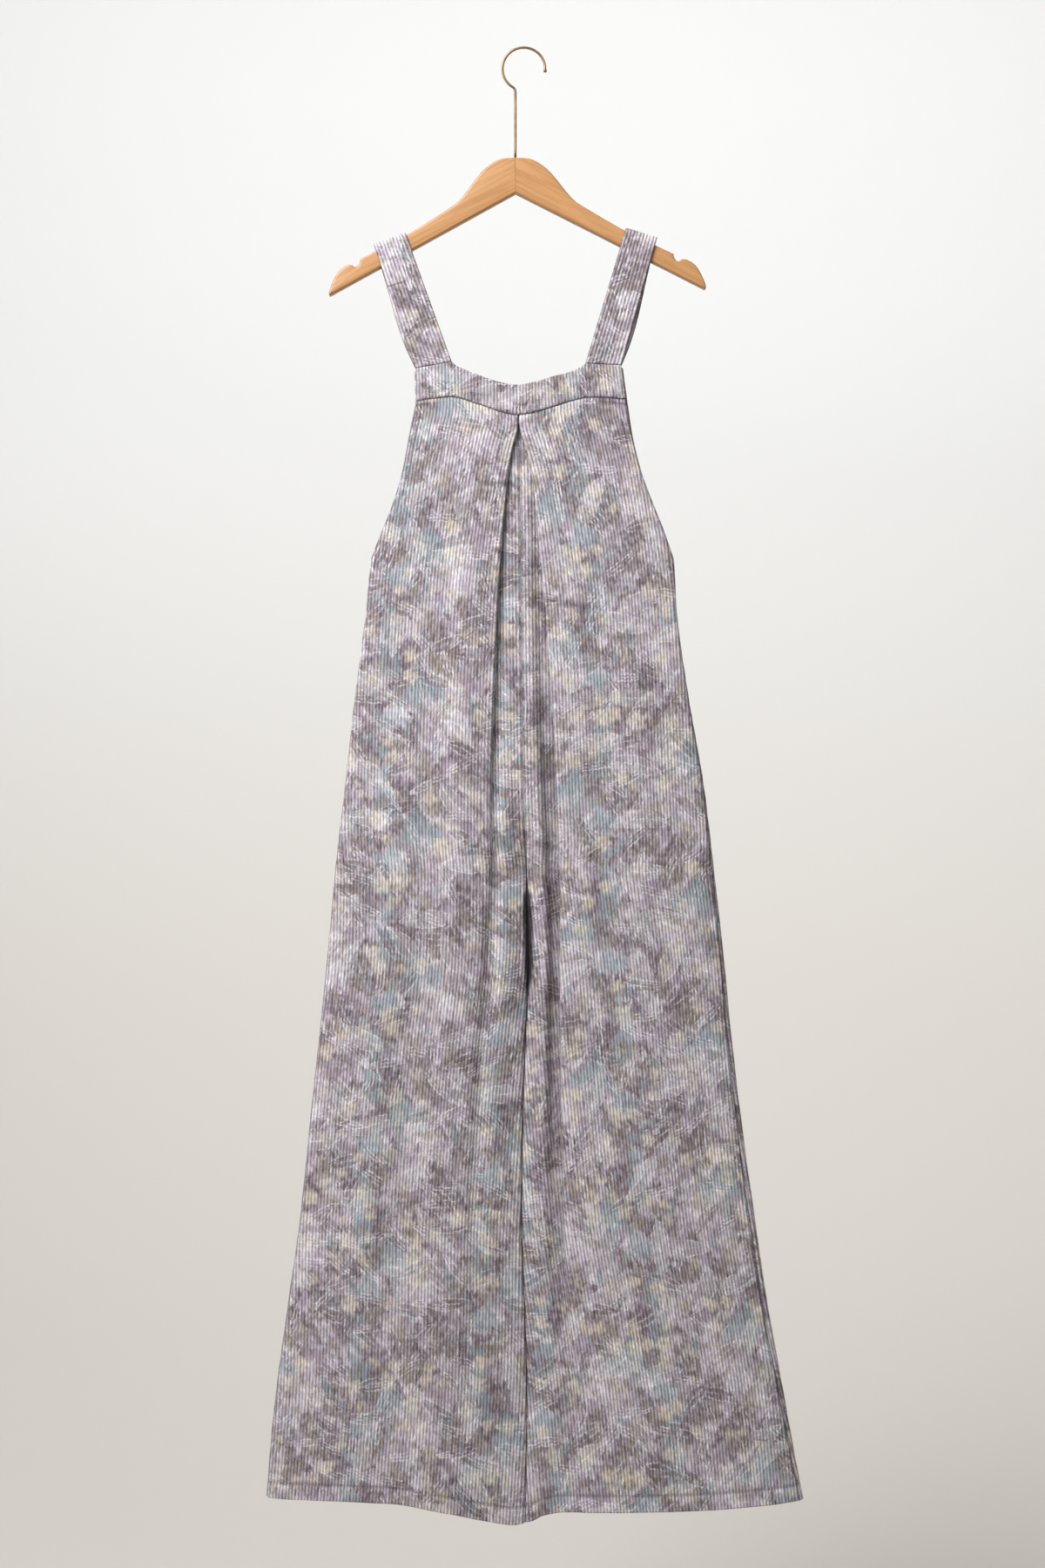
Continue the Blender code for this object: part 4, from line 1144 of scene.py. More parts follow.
@dataclass
class PanelCloth:
    """One panel of ribbed cloth."""

    form: PanelForm
    print_offset: tuple[float, float]
    row_step: float = 11.5
    armhole_turning: float = 7.0
    hem_turning: float = 19.0
    turning_swell: float = 0.45
    stitch_groove: float = 0.55
    second_seam: float = 5.2
    second_seam_run: float = 16.0
    hem_rows: tuple[float, float] = (-1.2, 1.2)
    armhole_foot: float = -596.0

    def levels(self) -> Array:
        """The rows' levels: even ones, with closer rows at the top seam, the hem's stitching and the edge."""
        count = int((HANG.top - HANG.hem) / self.row_step)
        even = np.linspace(HANG.top - 9, HANG.hem + self.hem_turning + 8, count)
        top = HANG.top - np.array([0.0, 0.6, 1.4, 2.5, 4.2, 5.2, 6.2])
        stitched = self.hem_turning + np.array([4, 2.4, 1.2, 0, -1.2, -2.4, -4])
        return np.concatenate([top, even, HANG.hem + np.concatenate([stitched, [11, 6, 2.5, 0.8, 0]])])

    def cloth_row(self, level: float) -> tuple[Cut, float, float]:
        """The cut at a level with the limits of this panel's cloth on it.

        The side seam lies off the fold, round on the front. There the front panel is
        cut back, and the back panel goes on round the fold along the front's cut.

        Args:
            level: The height below the hook.

        Returns:
            The cut, the length at which the panel ends, and how far the ribs have drifted.
        """
        cut = self.form.cut(level)
        roll = float(along(HANG.seam_roll[self.form.side], level)) if level < HANG.underarm else 0.0
        end = cut.length
        if self.form.face is Face.FRONT:
            end -= roll + KNIT.seam_gap / 2 if roll > 0 else 0.0
        elif roll > 0:
            other = PanelForm(self.form.side, Face.FRONT).cut(level)
            more = other.s > other.length - roll - 1
            s = cut.length + (other.length - other.s[more])[::-1]
            joined = [
                np.concatenate([getattr(cut, part), getattr(other, part)[more][::-1]])
                for part in ("x", "y", "normal_x", "normal_y", "hollow_shade")
            ]
            cut = Cut(np.concatenate([cut.s, s + 1e-4]), *joined)
            end += roll - KNIT.seam_gap / 2
        fall = np.clip((HANG.crotch - level) / (HANG.crotch - HANG.hem), 0, 1)
        return cut, end, HANG.rib_drift[self.form.side] * fall

    def surface(self, cut: Cut, s: Array, level: float) -> tuple[Array, Array]:
        """Places in the middle of the cloth at lengths along a cut, and its outward normals there."""
        x, y, normal_x, normal_y = cut.read(s)
        z = HANG.height(x, level, self.form.top_seam)
        return np.column_stack([x, y, z]), np.column_stack([normal_x, normal_y, np.zeros_like(x)])

    def relief(self, level: float, s: Array, end: float) -> Array:
        """How far turned edges stand out and their stitch lines draw in.

        Args:
            level: The height below the hook.
            s: Lengths along the cut.
            end: The length at which the panel ends.

        Returns:
            What is added to the wall's outer side.
        """
        above_hem = level - HANG.hem
        lift = self.turning_swell * float(ease((self.hem_turning - above_hem) / 3))
        lines = sum(bell(above_hem - self.hem_turning - row, 1.1) for row in self.hem_rows)
        lift = np.full_like(s, lift - self.stitch_groove * min(lines, 1.0))
        if level > self.armhole_foot:
            inward = end - s
            lift += self.turning_swell * ease((self.armhole_turning - inward) / 2)
            lift -= self.stitch_groove * bell(inward - self.armhole_turning, 0.9)
        return lift

    def shade(self, level: float, s: Array, end: float) -> Array:
        """How much painted shade the cloth takes along its edges, its seams and its lines of stitching: a
        bell curve about each.

        Args:
            level: The height below the hook.
            s: Lengths along the cut.
            end: The length at which the panel ends.

        Returns:
            Shares of painted shade from 0 to 1.
        """
        shade = 0.5 * bell(np.minimum(s, end - s), 1.1)
        shade += 0.6 * bell(HANG.top - level, 0.8)
        shade += 0.32 * bell(level - HANG.hem - self.hem_turning, 1.6)
        if level > self.armhole_foot:
            inward = end - s
            shade += 0.15 * bell(inward - self.armhole_turning, 0.9)
            second = bell(HANG.top - level - self.second_seam, 1.0)
            shade += 0.6 * second * (1 - ease((inward - self.second_seam_run) / 3))
        return shade

    def row(self, level: float) -> tuple[int, Array, Array, Array, Array]:
        """One row of the wall, with a column at each quarter of a rib.

        Args:
            level: The height below the hook.

        Returns:
            The first column's number, the outer points, the inner points, the places on the cloth,
            and how much painted shade they take.
        """
        cut, end, drift = self.cloth_row(level)
        spacing = KNIT.rib_pitch / KNIT.samples_per_rib
        low = math.ceil((0 - drift + spacing * 0.3) / spacing)
        high = math.floor((end - drift - spacing * 0.3) / spacing)
        s = np.concatenate([[0.0], np.arange(low, high + 1) * spacing + drift, [end]])
        middle, normal = self.surface(cut, s, level)
        normal /= np.hypot(normal[:, :1], normal[:, 1:2])
        near_edge = np.minimum(s, end - s)
        from_end = min(HANG.top - level, level - HANG.hem)
        share = np.where(near_edge < TINY, HANG.edge_share, 1.0)
        share *= HANG.edge_share if from_end < TINY else 1.0
        dive = 0.6 * bell(near_edge, 1.6) + 0.7 * bell(HANG.top - level, 1.8)
        out = (KNIT.wall / 2 + (KNIT.ribs(s - drift) + self.relief(level, s, end)) - dive) * share
        outer = middle + normal * out[:, None]
        inner = middle - normal * (KNIT.wall / 2 * share)[:, None]
        uv = np.column_stack([s - drift, np.full_like(s, level)])
        shade = self.shade(level, s, end) + np.interp(s, cut.s, cut.hollow_shade)
        return low - 1, outer, inner, uv, shade

    def build(self) -> bpy.types.Object:
        """Makes the panel."""
        grid = TrimmedGrid()
        for level in self.levels().tolist():
            grid.add_row(*self.row(level))
        flip = self.form.side.value * self.form.face.value < 0
        offsets = (self.print_offset, self.print_offset)
        piece = knit_piece(self.form.name, grid, flip, offsets, "wrong_side", inside=True)
        return piece

    def stitch_paths(self) -> list[tuple[Array, Array]]:
        """The lines of the hem's twin stitching and of the armhole's stitching, as points and normals."""
        lines, armhole = [], []
        for row in self.hem_rows:
            level = HANG.hem + self.hem_turning + row
            cut, end, _ = self.cloth_row(level)
            lines.append(self.surface(cut, np.arange(1.0, end - 1.0, 0.6), level))
        for level in np.arange(HANG.underarm + 2, HANG.top - 2, 2.0).tolist():
            cut, end, _ = self.cloth_row(level)
            armhole.append(self.surface(cut, np.array([end - self.armhole_turning]), level))
        lines.append(tuple(np.vstack(each) for each in zip(*armhole)))
        lift = KNIT.wall / 2 + 0.45 * KNIT.rib_height
        return [(points + normals * lift, normals) for points, normals in lines]


@dataclass
class Stitching:
    """Short stitches of thread laid along lines, joined in one mesh."""

    length: float = 2.7
    pitch: float = 3.5
    radius: float = 0.24
    sides: int = 5
    bow: float = 0.18

    def stitches(self, points: Array, normals: Array) -> tuple[Array, Array]:
        """Works out the stitches of one line.

        A stitch is a tube along the line whose radius shrinks to its ends and whose
        middle bows out of the cloth by a half sine.

        Args:
            points: Places along the line.
            normals: The cloth's normals there.

        Returns:
            Vertices and four-cornered faces.
        """
        steps = np.linalg.norm(np.diff(points, axis=0), axis=1)
        run = np.concatenate([[0], np.cumsum(steps)])
        starts = np.arange(0.4, run[-1] - self.length, self.pitch)
        shares = np.linspace(0, 1, 5)
        at = starts[:, None] + shares[None, :] * self.length
        centre = np.stack([np.interp(at, run, points[:, k]) for k in range(3)], axis=-1)
        normal = np.stack([np.interp(at, run, normals[:, k]) for k in range(3)], axis=-1)
        tangent = centre[:, -1:] - centre[:, :1]
        tangent = tangent / np.linalg.norm(tangent, axis=-1, keepdims=True)
        side = np.cross(normal, np.broadcast_to(tangent, normal.shape))
        centre = centre + normal * (self.bow * np.sin(math.pi * shares))[None, :, None]
        size = self.radius * np.sqrt(np.clip(np.sin(math.pi * (0.06 + 0.88 * shares)), 0, 1))
        angle = np.linspace(0, TURN, self.sides, endpoint=False)
        cosine, sine = np.cos(angle)[:, None], np.sin(angle)[:, None]
        ring = side[:, :, None] * cosine + normal[:, :, None] * sine
        vertices = centre[:, :, None] + ring * size[None, :, None, None]
        number = np.arange(vertices[..., 0].size).reshape(vertices.shape[:3])
        near, far = number[:, :-1], number[:, 1:]
        faces = np.stack([near, np.roll(near, -1, axis=2), np.roll(far, -1, axis=2), far], axis=-1)
        ends = []
        for cap in (number[:, 0, ::-1], number[:, -1]):
            ends += [cap[:, :4], cap[:, [0, 3, 4, 4]]]
        return vertices.reshape(-1, 3), np.concatenate([faces.reshape(-1, 4), *ends])

    def build(
        self, name: str, paths: list[tuple[Array, Array]], finish: bpy.types.Material
    ) -> bpy.types.Object:
        """Makes one object of all the stitches along the lines."""
        points, faces, total = [], [], 0
        for line, normals in paths:
            some_points, some_faces = self.stitches(line, normals)
            points.append(some_points)
            faces.append(some_faces + total)
            total += len(some_points)
        points, faces = np.concatenate(points), np.concatenate(faces)
        mesh = surface_mesh(name, points, faces, points[:, :2], np.zeros(len(faces)))
        face_outwards(mesh)
        return Piece.place(mesh, [finish], "rib_knit")


@dataclass
class Yoke:
    """The doubled band across the top of the bib, front or back."""

    face: Face
    print_offset: tuple[float, float]
    strap_left: Points = ((-123.5, -368.5), (-82.5, -361.0))
    strap_right: Points = ((111.5, -365.0), (70.5, -363.0))
    neckline: Points = (
        (-82.5, -361.0), (-77.5, -365.2), (-60, -372.8), (-42.7, -379.3), (-25.3, -384.7), (-8, -387.2),
        (13.7, -383.7), (31.1, -378.2), (48.5, -373.9), (61.5, -368.5), (70.5, -363.0),
    )

    def top(self, x: Array) -> Array:
        """The band's upper edge: straight under each strap, and the dipped neckline between them."""
        (left_out, left_in), (right_out, right_in) = self.strap_left, self.strap_right
        on_left = np.interp(x, (left_out[0], left_in[0]), (left_out[1], left_in[1]))
        on_right = np.interp(x, (right_in[0], right_out[0]), (right_in[1], right_out[1]))
        return np.where(x > right_in[0], on_right, np.where(x < left_in[0], on_left, along(self.neckline, x)))

    def build(self) -> bpy.types.Object:
        """Makes the band: straight lines from its seam up to its edge, over a swell from side to side."""
        ease_out = HANG.back_armhole_ease if self.face is Face.BACK else 0.0
        body = HANG.body.at(HANG.top)
        left, right, centre = body["left_x"] - ease_out, body["right_x"] + ease_out, body["seam_x"]
        spacing = KNIT.rib_pitch / KNIT.samples_per_rib
        first = math.ceil((left - centre) / spacing) + 1
        last = math.floor((right - centre) / spacing) - 1
        foot_x = np.concatenate([[left], centre + spacing * np.arange(first, last + 1), [right]])
        corners = (self.strap_left[0][0] - ease_out, centre, self.strap_right[0][0] + ease_out)
        top_x = np.interp(foot_x, (left, centre, right), corners)
        foot = HANG.yoke_seam if self.face is Face.FRONT else HANG.back_yoke_seam
        swell = body["front_bulge" if self.face is Face.FRONT else "back_bulge"]
        place = np.abs((foot_x - (left + right) / 2) / ((right - left) / 2))
        depth = body["edge_half"] + swell * (1 - place**3)
        foot_z, top_z = along(foot, foot_x), self.top(top_x)
        height = float(np.mean(top_z - foot_z))
        rows_up = [[0, 0.6 / height, 1.4 / height], np.linspace(0.06, 0.94, 12), [1 - 0.8 / height, 1]]
        shares = np.concatenate(rows_up)[:, None]
        x = foot_x + (top_x - foot_x) * shares
        z = foot_z + (top_z - foot_z) * shares
        ribs = KNIT.ribs(foot_x - centre)
        side_edge = np.minimum(x - x[:, :1], x[:, -1:] - x)
        at_end = (shares < TINY) | (shares > 1 - TINY)
        edge = np.where(side_edge < TINY, 0.45, 1.0) * np.where(at_end, 0.5, 1.0)
        wave = 0.3 * np.sin(x / 23.0) * np.sin(math.pi * shares)
        half = KNIT.double_wall / 2
        seam = bell(shares * height, 1.3)
        outer_y = self.face.value * (depth + wave + (half + ribs - 0.9 * seam) * edge)
        inner_y = self.face.value * (depth + wave - half * edge)
        grid = TrimmedGrid()
        uv_x = np.broadcast_to(foot_x - centre, x.shape)
        for row in range(len(shares)):
            outer = np.column_stack([x[row], outer_y[row], z[row]])
            inner = np.column_stack([x[row], inner_y[row], z[row]])
            edge_shade = 0.25 * bell(side_edge[row], 1.2) + 0.6 * seam[row] ** 2
            grid.add_row(0, outer, inner, np.column_stack([uv_x[row], z[row]]), edge_shade)
        offsets = (self.print_offset, (self.print_offset[0] + 0.07, self.print_offset[1]))
        name = f"{self.face.name.lower()}_yoke"
        piece = knit_piece(name, grid, self.face is Face.BACK, offsets, "facing")
        return piece


@dataclass
class HangerArm:
    """One arm of the wooden hanger, cut from a board and rounded along its edges."""

    side: Side
    thickness: float = 12.0
    top: tuple[float, float] = (-10.0, -125.8)
    tilt: float = 1.0
    edge_round: float = 2.4
    mitre_gap: float = 0.03
    mitre_groove: float = 0.1
    point_gap: float = 1.5
    grain_slope: float = 27.8
    sharp_angle: float = 35.0
    outline: tuple[tuple[float, float, bool], ...] = (
        (0.15, 0.0, True), (18.0, 1.9, False), (34.0, 11.5, False), (45.6, 24.0, False), (56.3, 38.0, False),
        (66.3, 49.5, False), (79.5, 58.8, False), (124.5, 86.0, False), (160.7, 104.2, False),
        (179.5, 113.4, True), (181.2, 119.4, False), (185.0, 122.0, False), (189.0, 119.8, True),
        (195.0, 120.4, False), (205.0, 127.5, False), (212.5, 140.5, False), (216.5, 152.2, False),
        (214.8, 154.4, True), (0.15, 41.0, True),
    )

    def turned(self, out: Array, up: Array) -> tuple[Array, Array]:
        """Turns a place on the arm by the hanger's tilt and sets it on the hanger's top."""
        tilt = math.radians(self.tilt)
        side = self.side.value
        x = self.top[0] + side * out * math.cos(tilt) - up * math.sin(tilt)
        return x, self.top[1] + side * out * math.sin(tilt) + up * math.cos(tilt)

    def upper_edge(self, x: float) -> float:
        """The height of the arm's upper edge on the smooth stretch where the strap lies."""
        out, down = np.array([row[:2] for row in self.outline[4:9]]).T
        edge_x, edge_z = self.turned(out, -down)
        order = np.argsort(edge_x)
        return float(smooth_curve(x, edge_x[order], edge_z[order]))

    def dense_outline(self) -> Array:
        """The outline with points about 1.5 mm apart: a curve through the points between two corners.

        Each curve is a Catmull-Rom spline, whose slope at a point is half the step
        between its neighbours.
        """
        rows = np.array([row[:2] for row in self.outline])
        corners = [k for k, row in enumerate(self.outline) if row[2]] + [len(self.outline)]
        closed = np.vstack([rows, rows[:1]])
        parts = []
        for first, last in zip(corners[:-1], corners[1:]):
            knots = closed[first : last + 1]
            straight = np.repeat(np.diff(knots, axis=0), 2, axis=0)
            slopes = np.gradient(knots, axis=0) if len(knots) > 2 else straight
            for a, b, slope_a, slope_b in zip(knots[:-1], knots[1:], slopes[:-1], slopes[1:]):
                count = max(2, int(np.linalg.norm(b - a) / self.point_gap))
                t = np.linspace(0, 1, count, endpoint=False)[:, None]
                value = a * (2 * t**3 - 3 * t**2 + 1) + b * (3 * t**2 - 2 * t**3)
                parts.append(value + slope_a * (t**3 - 2 * t**2 + t) + slope_b * (t**3 - t**2))
        return np.vstack(parts)

    def build(self) -> bpy.types.Object:
        """Makes the arm: its outline drawn in along its normals by a quarter circle at each edge."""
        line = self.dense_outline() * (1, -1)
        before, after = line - np.roll(line, 1, axis=0), np.roll(line, -1, axis=0) - line
        before /= np.linalg.norm(before, axis=1, keepdims=True)
        after /= np.linalg.norm(after, axis=1, keepdims=True)
        tangent = before + after
        inward = np.column_stack([tangent[:, 1], -tangent[:, 0]])
        inward /= np.maximum(np.linalg.norm(inward, axis=1, keepdims=True), TINY)
        mitre = line[:, 0] < 0.2
        line[mitre, 0] = self.mitre_gap
        middle, half = -self.outline[-1][1] / 2, self.outline[-1][1] / 2
        groove = np.full(mitre.sum(), self.mitre_groove)
        inward[mitre] = np.column_stack([groove, (middle - line[mitre, 1]) / half])
        angles = np.linspace(0, math.pi / 2, 6)
        inset = self.edge_round * (1 - np.cos(math.pi / 2 - angles))
        depth = self.thickness / 2 - self.edge_round + self.edge_round * np.cos(angles)
        insets = np.concatenate([inset, inset[::-1]])
        depths = np.concatenate([-depth, depth[::-1]])
        rings = line[None] + inward[None] * insets[:, None, None]
        x, z = self.turned(rings[..., 0], rings[..., 1])
        points = np.stack([x, np.broadcast_to(depths[:, None], x.shape), z], axis=-1)
        side = self.side.name.lower()
        mesh = tube_mesh(f"hanger_arm_{side}_wood", points, split_caps=True)
        mesh.set_sharp_from_angle(angle=math.radians(self.sharp_angle))
        finish = Beech().material(f"beech_{side}", -self.side.value * math.radians(self.grain_slope))
        return Piece.place(mesh, [finish], "beech", (f"hanger_arm_{side}",))


@dataclass
class Strap:
    """A doubled strap from the front yoke over the hanger to the back yoke, with its ribs lengthwise."""

    side: Side
    print_offset: tuple[float, float]
    tilt: float
    base: Points
    arch_radius: float = 4.5
    clearance: float = 0.9
    ribs: int = 10
    samples_per_rib: int = 6
    back_swing: float = 4.0
    narrowing: float = 0.06
    tack: float = 103.0
    arm_half: float = 6.0
    first_reach: float = 150.0
    reach_rounds: int = 60
    arch_extra: float = 10.0

    def rows(self, depth: float, rise: float) -> Array:
        """The strap's rows from the front base over the arch to the back base.

        Args:
            depth: How far the strap hangs from the hanger's middle.
            rise: How far up the strap the arch starts.

        Returns:
            For each row: run up the strap, y, the normal's share up the strap and along y, the swing
            outwards, and the share of the sloping base.
        """
        tack = self.tack / rise + np.array([-0.012, -0.005, 0.0, 0.005, 0.012])
        t = np.sort(np.concatenate([[0, 0.006, 0.014], np.linspace(0.03, 1, 25, endpoint=False), tack]))
        still = np.zeros_like(t)
        flat = depth - self.arch_radius
        sag = np.sin(math.pi * t) * 0.8
        front = np.column_stack([rise * t, -depth - sag, still, still - 1, still, 1 - t])
        angle = np.radians(np.linspace(0, 90, 9))
        over_y = flat + self.arch_radius * np.cos(angle)
        over_run = rise + self.arch_radius * np.sin(angle)
        none = np.zeros_like(angle)
        over = np.column_stack([over_run, -over_y, np.sin(angle), -np.cos(angle), none, none])
        down = np.column_stack([over_run, over_y, np.sin(angle), np.cos(angle), none, none])[::-1]
        fall = np.linspace(0, 1, 27)[1:]
        swing = self.back_swing * np.sin(math.pi * fall**1.8)
        none = np.zeros_like(fall)
        sag = 0.6 * np.sin(math.pi * fall)
        back = np.column_stack([rise * (1 - fall), depth + sag, none, none + 1, swing, fall])
        return np.vstack([front, over, down, back])

    def build(self) -> bpy.types.Object:
        """Makes the strap: the rows of its path, each a flat band with ribs and rounded edges."""
        side = self.side.value
        tilt = math.radians(self.tilt)
        (outer_x, outer_z), (inner_x, inner_z) = self.base
        up = np.array([side * math.sin(tilt), math.cos(tilt)])
        across = np.array([side * math.cos(tilt), -math.sin(tilt)])
        corner = np.array([inner_x, inner_z + KNIT.seam_gap])
        width = float(np.dot((outer_x - inner_x, outer_z - inner_z), across))
        half = KNIT.double_wall / 2
        depth = self.arm_half + KNIT.seam_gap + half
        arm = HangerArm(self.side)
        reach = self.first_reach
        for _ in range(self.reach_rounds):
            crest = arm.upper_edge(corner[0] + up[0] * reach) + self.clearance + half
            reach = (crest - corner[1]) / up[1]
        rise = reach - self.arch_radius
        slope = (outer_z - inner_z) / (outer_x - inner_x)
        even = np.linspace(0, width, self.ribs * self.samples_per_rib + 1)
        columns = np.concatenate([[0, 0.25, 0.8], even[2:-2], [width - 0.8, width - 0.25, width]])
        edge = np.ones_like(columns)
        edge[[0, -1]], edge[[1, -2]] = 0.35, 0.8
        pitch = width / self.ribs
        ribs = KNIT.rib(0.5 - 0.5 * np.cos(TURN * columns / pitch))
        foot = columns * (slope * across[0] - across[1]) / (up[1] - slope * up[0])
        grid = TrimmedGrid()
        for index, (run, y, normal_up, normal_y, swing, base_share) in enumerate(self.rows(depth, rise)):
            along_strap = run + foot * base_share
            squeeze = 1 - self.narrowing * min(run / rise, 1.0)
            place = width / 2 + (columns - width / 2) * squeeze
            x = corner[0] + up[0] * along_strap + across[0] * (place + swing)
            z = corner[1] + up[1] * along_strap + across[1] * (place + swing)
            end = 0.5 if base_share > 1 - TINY else 1.0
            normal = np.array([up[0] * normal_up, normal_y, up[1] * normal_up])
            middle = np.column_stack([x, np.full_like(x, y), z])
            outer = middle + normal * ((half + ribs) * edge * end)[:, None]
            inner = middle - normal * (half * edge * end)[:, None]
            length = np.full_like(columns, run if y < 0 else 2 * rise - run + self.arch_extra)
            shade = 0.55 * bell(min(run, rise), 1.2)
            if self.side is Side.LEFT and y < 0:
                shade = shade + 0.7 * bell(run - self.tack, 0.9) * (columns > width * 0.45)
            shade = shade + 0.25 * bell(np.minimum(columns, width - columns), 0.9)
            uv = np.column_stack([(columns - pitch / 2) * KNIT.rib_pitch / pitch, length])
            grid.add_row(0, outer, inner, uv, shade)
        offsets = (self.print_offset, (self.print_offset[0], self.print_offset[1] + 0.05))
        name = f"strap_{self.side.name.lower()}"
        piece = knit_piece(name, grid, self.side is Side.LEFT, offsets, "under")
        f"hanger_arm_{self.side.name.lower()}"
        return piece


@dataclass
class Hook:
    """The wire hook: a straight shank, a tight bend to the left, and three quarters of a circle."""

    wire: float = 2.8
    radius: float = 24.5
    start: float = -2.0
    finish: float = 238.0
    neck_radius: float = 6.9
    foot: float = -125.5
    tip: float = 2.0
    sides: int = 20

    def path(self) -> Array:
        """The wire's middle from the open end to the wood, as x and z."""
        centre_z = -(self.radius - self.wire / 2)
        angle = np.radians(np.linspace(self.start, self.finish, 72))
        bend = np.column_stack([self.radius * np.cos(angle), centre_z + self.radius * np.sin(angle)])
        heading = math.atan2(math.cos(angle[-1]), -math.sin(angle[-1]))
        centre = bend[-1] + self.neck_radius * np.array([math.sin(heading), -math.cos(heading)])
        turn = heading + (-math.pi / 2 - heading) * np.linspace(0, 1, 16)[1:]
        neck = centre + self.neck_radius * np.column_stack([-np.sin(turn), np.cos(turn)])
        shank_x = np.full(12, neck[-1, 0])
        shank_z = np.linspace(neck[-1, 1], self.foot, 13)[1:]
        return np.vstack([bend, neck, np.column_stack([shank_x, shank_z])])

    def build(self) -> bpy.types.Object:
        """Makes the wire: a circle carried along its path, swelling to a small ball at the open end."""
        line = self.path()
        lead = line[0] - line[1]
        lead = lead / np.linalg.norm(lead)
        ball = np.linspace(1.0, 0.0, 9)[:-1, None] * self.tip * 1.7
        line = np.vstack([line[0] + lead * ball, line])
        tangent = np.gradient(line, axis=0)
        tangent /= np.linalg.norm(tangent, axis=1, keepdims=True)
        normal = np.column_stack([tangent[:, 1], -tangent[:, 0]])
        run = np.concatenate([[0], np.cumsum(np.linalg.norm(np.diff(line, axis=0), axis=1))])
        round_end = np.sqrt(np.clip(self.tip**2 - (run - self.tip) ** 2, 0.04, None))
        size = np.where(run < self.tip, round_end, np.maximum(self.wire / 2, round_end))
        angle = np.linspace(0, TURN, self.sides, endpoint=False)
        ring = normal[:, None, :] * np.cos(angle)[None, :, None] * size[:, None, None]
        x, z = (line[:, None, :] + ring).transpose(2, 0, 1)
        y = np.sin(angle)[None, :] * size[:, None]
        mesh = tube_mesh("hanger_hook_wire", np.stack([x, y, z], axis=-1))
        return Piece.place(mesh, [BrassWire().material()], "brass_wire", ("hanger_hook",))


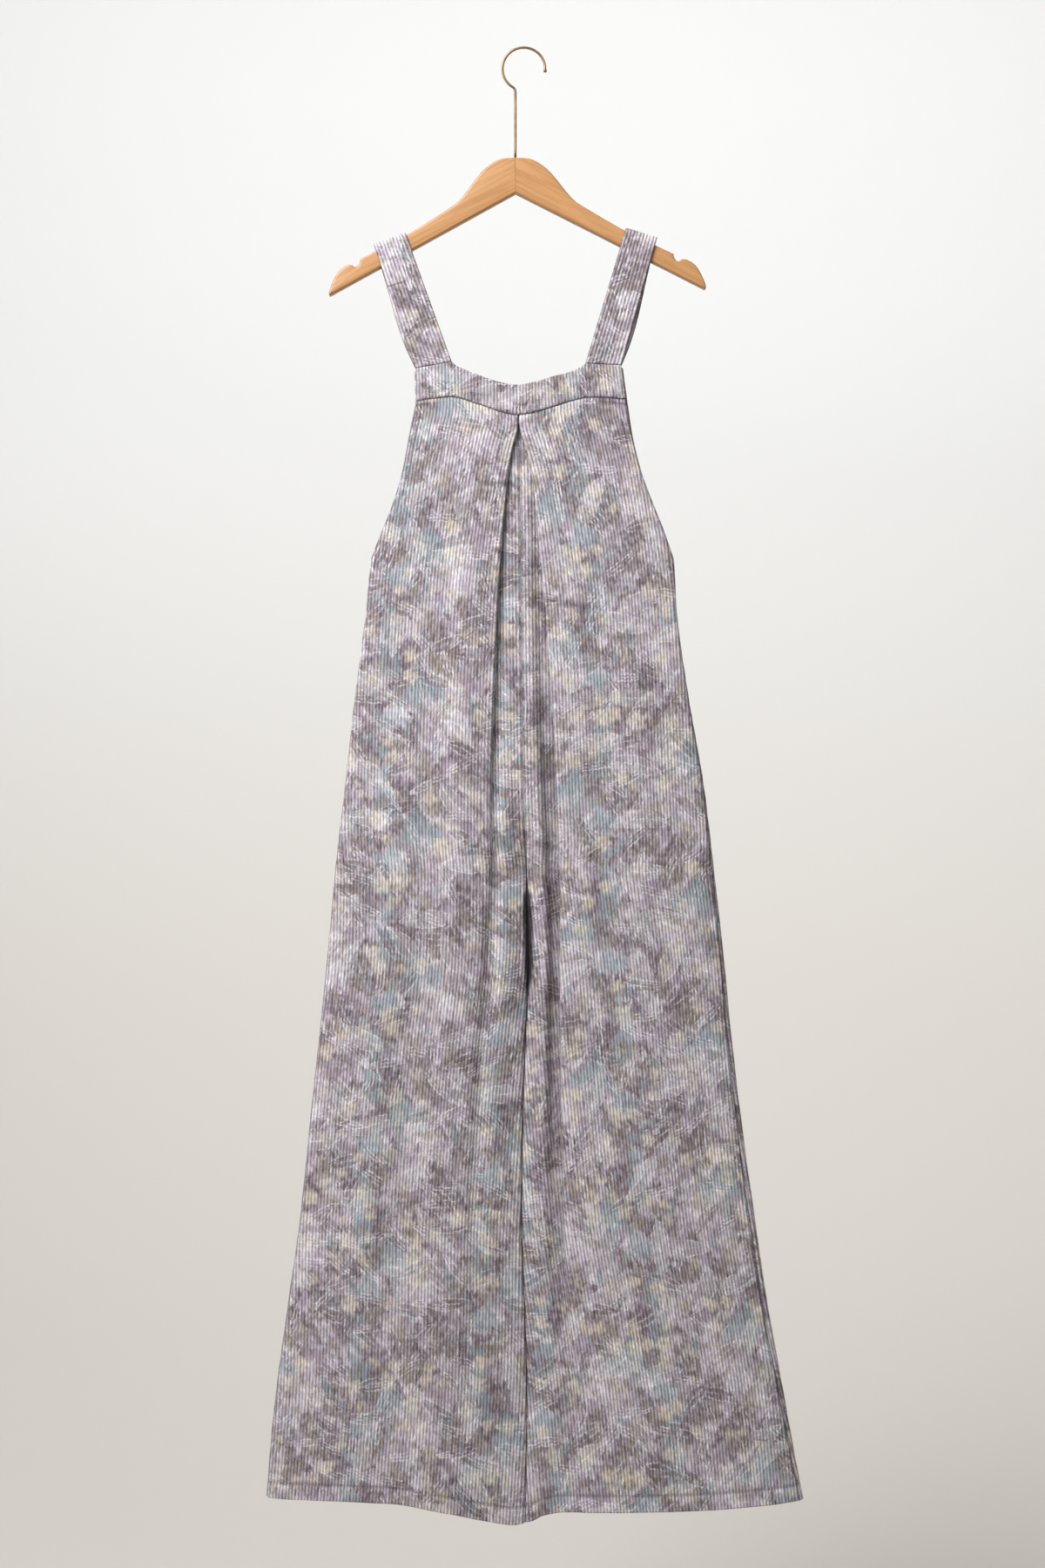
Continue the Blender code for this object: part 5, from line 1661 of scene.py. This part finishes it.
@dataclass
class Studio:
    """A pale floor that curves up all round, soft lights, and the camera at the photograph's angle."""

    floor_level: float = -2.2
    floor_radius: float = 3.0
    wall_radius: float = 4.5
    wall_height: float = 5.5
    wall_paint: tuple = srgb(238, 239, 239)
    floor_paint: tuple = srgb(206, 201, 195)
    ambient: float = 0.2
    distance: float = 2.5
    aim: tuple[float, float] = (-0.0015, -0.844)
    lens: float = 50.0
    sensor: float = 36.0
    columns: int = 96

    def room(self) -> bpy.types.Object:
        """Makes the floor and its wall: a profile turned about the upright axis."""
        angle = np.linspace(0, math.pi / 2, 32)
        radius = np.concatenate([[0.01, 1.0, 2.0], self.floor_radius + self.wall_radius * np.sin(angle)])
        height = np.concatenate([[0, 0, 0], self.wall_radius * (1 - np.cos(angle))]) + self.floor_level
        radius = np.append(radius, self.floor_radius + self.wall_radius)
        height = np.append(height, self.floor_level + self.wall_height)
        turn = np.linspace(0, TURN, self.columns, endpoint=False)
        x, y = radius[:, None] * np.cos(turn), radius[:, None] * np.sin(turn)
        points = np.stack([x, y, np.broadcast_to(height[:, None], x.shape)], axis=-1)
        faces, number = ring_faces(points)
        mesh = bpy.data.meshes.new("studio_floor")
        mesh.from_pydata(points.reshape(-1, 3).tolist(), [], faces + [number[0][::-1].tolist()])
        mesh.shade_smooth()
        floor = bpy.data.objects.new("studio_floor", mesh)
        bpy.context.scene.collection.objects.link(floor)
        n = Nodes("studio_paint")
        _, _, height = n.parts(n.place("Object"))
        paint = n.mix(n.step(height, self.floor_level - 0.2, 1.6), self.floor_paint, self.wall_paint)
        mesh.materials.append(n.finish(paint, 0.9, specular_ior_level=0.1))
        return floor

    def light(
        self,
        name: str,
        place: tuple[float, float, float],
        size: float,
        power: float,
        tint: tuple,
        target: tuple[float, float, float] = (0.0, 0.0, -0.85),
    ) -> None:
        """Adds a square lamp that faces a point, and that isn't itself seen.

        Args:
            name: The lamp's name.
            place: Where it stands, in metres.
            size: Its side in metres.
            power: Its power in watts.
            tint: Its colour.
            target: The point that it faces.
        """
        data = bpy.data.lights.new(name, "AREA")
        data.size = size
        data.energy = power
        data.color = tint
        lamp = bpy.data.objects.new(name, data)
        lamp.location = place
        aim = np.array(target) - np.array(place)
        yaw = math.atan2(-aim[0], aim[1])
        pitch = math.acos(float(-aim[2] / np.linalg.norm(aim)))
        lamp.rotation_euler = (pitch, 0.0, yaw)
        lamp.visible_camera = False
        bpy.context.scene.collection.objects.link(lamp)

    def build(self) -> None:
        """Makes the room, the lights, the world and the camera."""
        self.room()
        self.light("key", (-1.4, -1.7, 1.2), 1.7, 156.0, (1.0, 0.995, 0.985), (0.0, 0.0, -0.3))
        self.light("fill", (1.8, -3.8, 0.2), 1.8, 9.0, (0.97, 0.985, 1.0), (0.0, 0.0, -1.1))
        self.light("back", (0.8, 3.0, 3.4), 2.2, 110.0, (1.0, 1.0, 1.0))
        self.light("backdrop", (0.0, 2.4, 3.0), 3.0, 192.0, (1.0, 1.0, 1.0), (0.0, 7.5, 1.8))
        world = bpy.data.worlds.new("studio_world")
        world.use_nodes = True
        background = world.node_tree.nodes["Background"]
        background.inputs[0].default_value = srgb(240, 240, 240)
        background.inputs[1].default_value = self.ambient
        bpy.context.scene.world = world
        bpy.context.scene.view_settings.view_transform = "Standard"
        data = bpy.data.cameras.new("camera")
        data.lens = self.lens
        data.sensor_width = self.sensor
        camera = bpy.data.objects.new("camera", data)
        camera.location = (self.aim[0], -self.distance, self.aim[1])
        camera.rotation_euler = (math.pi / 2, 0.0, 0.0)
        bpy.context.scene.collection.objects.link(camera)
        bpy.context.scene.camera = camera


def main() -> None:
    """Builds the hanger, the garment and the studio in order."""
    logging.basicConfig(level=logging.INFO, format="%(name)s: %(message)s")
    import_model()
    Studio().build()
    for side in Side:
        HangerArm(side).build()
    Hook().build()
    thread = Thread().material()
    offsets = {
        (Face.FRONT, Side.LEFT): (0.31, 0.02),
        (Face.FRONT, Side.RIGHT): (0.92, 0.45),
        (Face.BACK, Side.LEFT): (1.43, 0.11),
        (Face.BACK, Side.RIGHT): (2.07, 0.63),
    }
    for (face, side), offset in offsets.items():
        panel = PanelCloth(PanelForm(side, face), offset)
        panel.build()
        Stitching().build(f"{panel.form.name}_stitching", panel.stitch_paths(), thread)
    Yoke(Face.FRONT, (0.55, 0.93)).build()
    Yoke(Face.BACK, (1.11, 0.35)).build()
    Strap(Side.LEFT, (0.23, 0.71), 19.3, Yoke.strap_left).build()
    Strap(Side.RIGHT, (0.77, 0.17), 16.2, Yoke.strap_right).build()


if __name__ == "__main__":
    main()
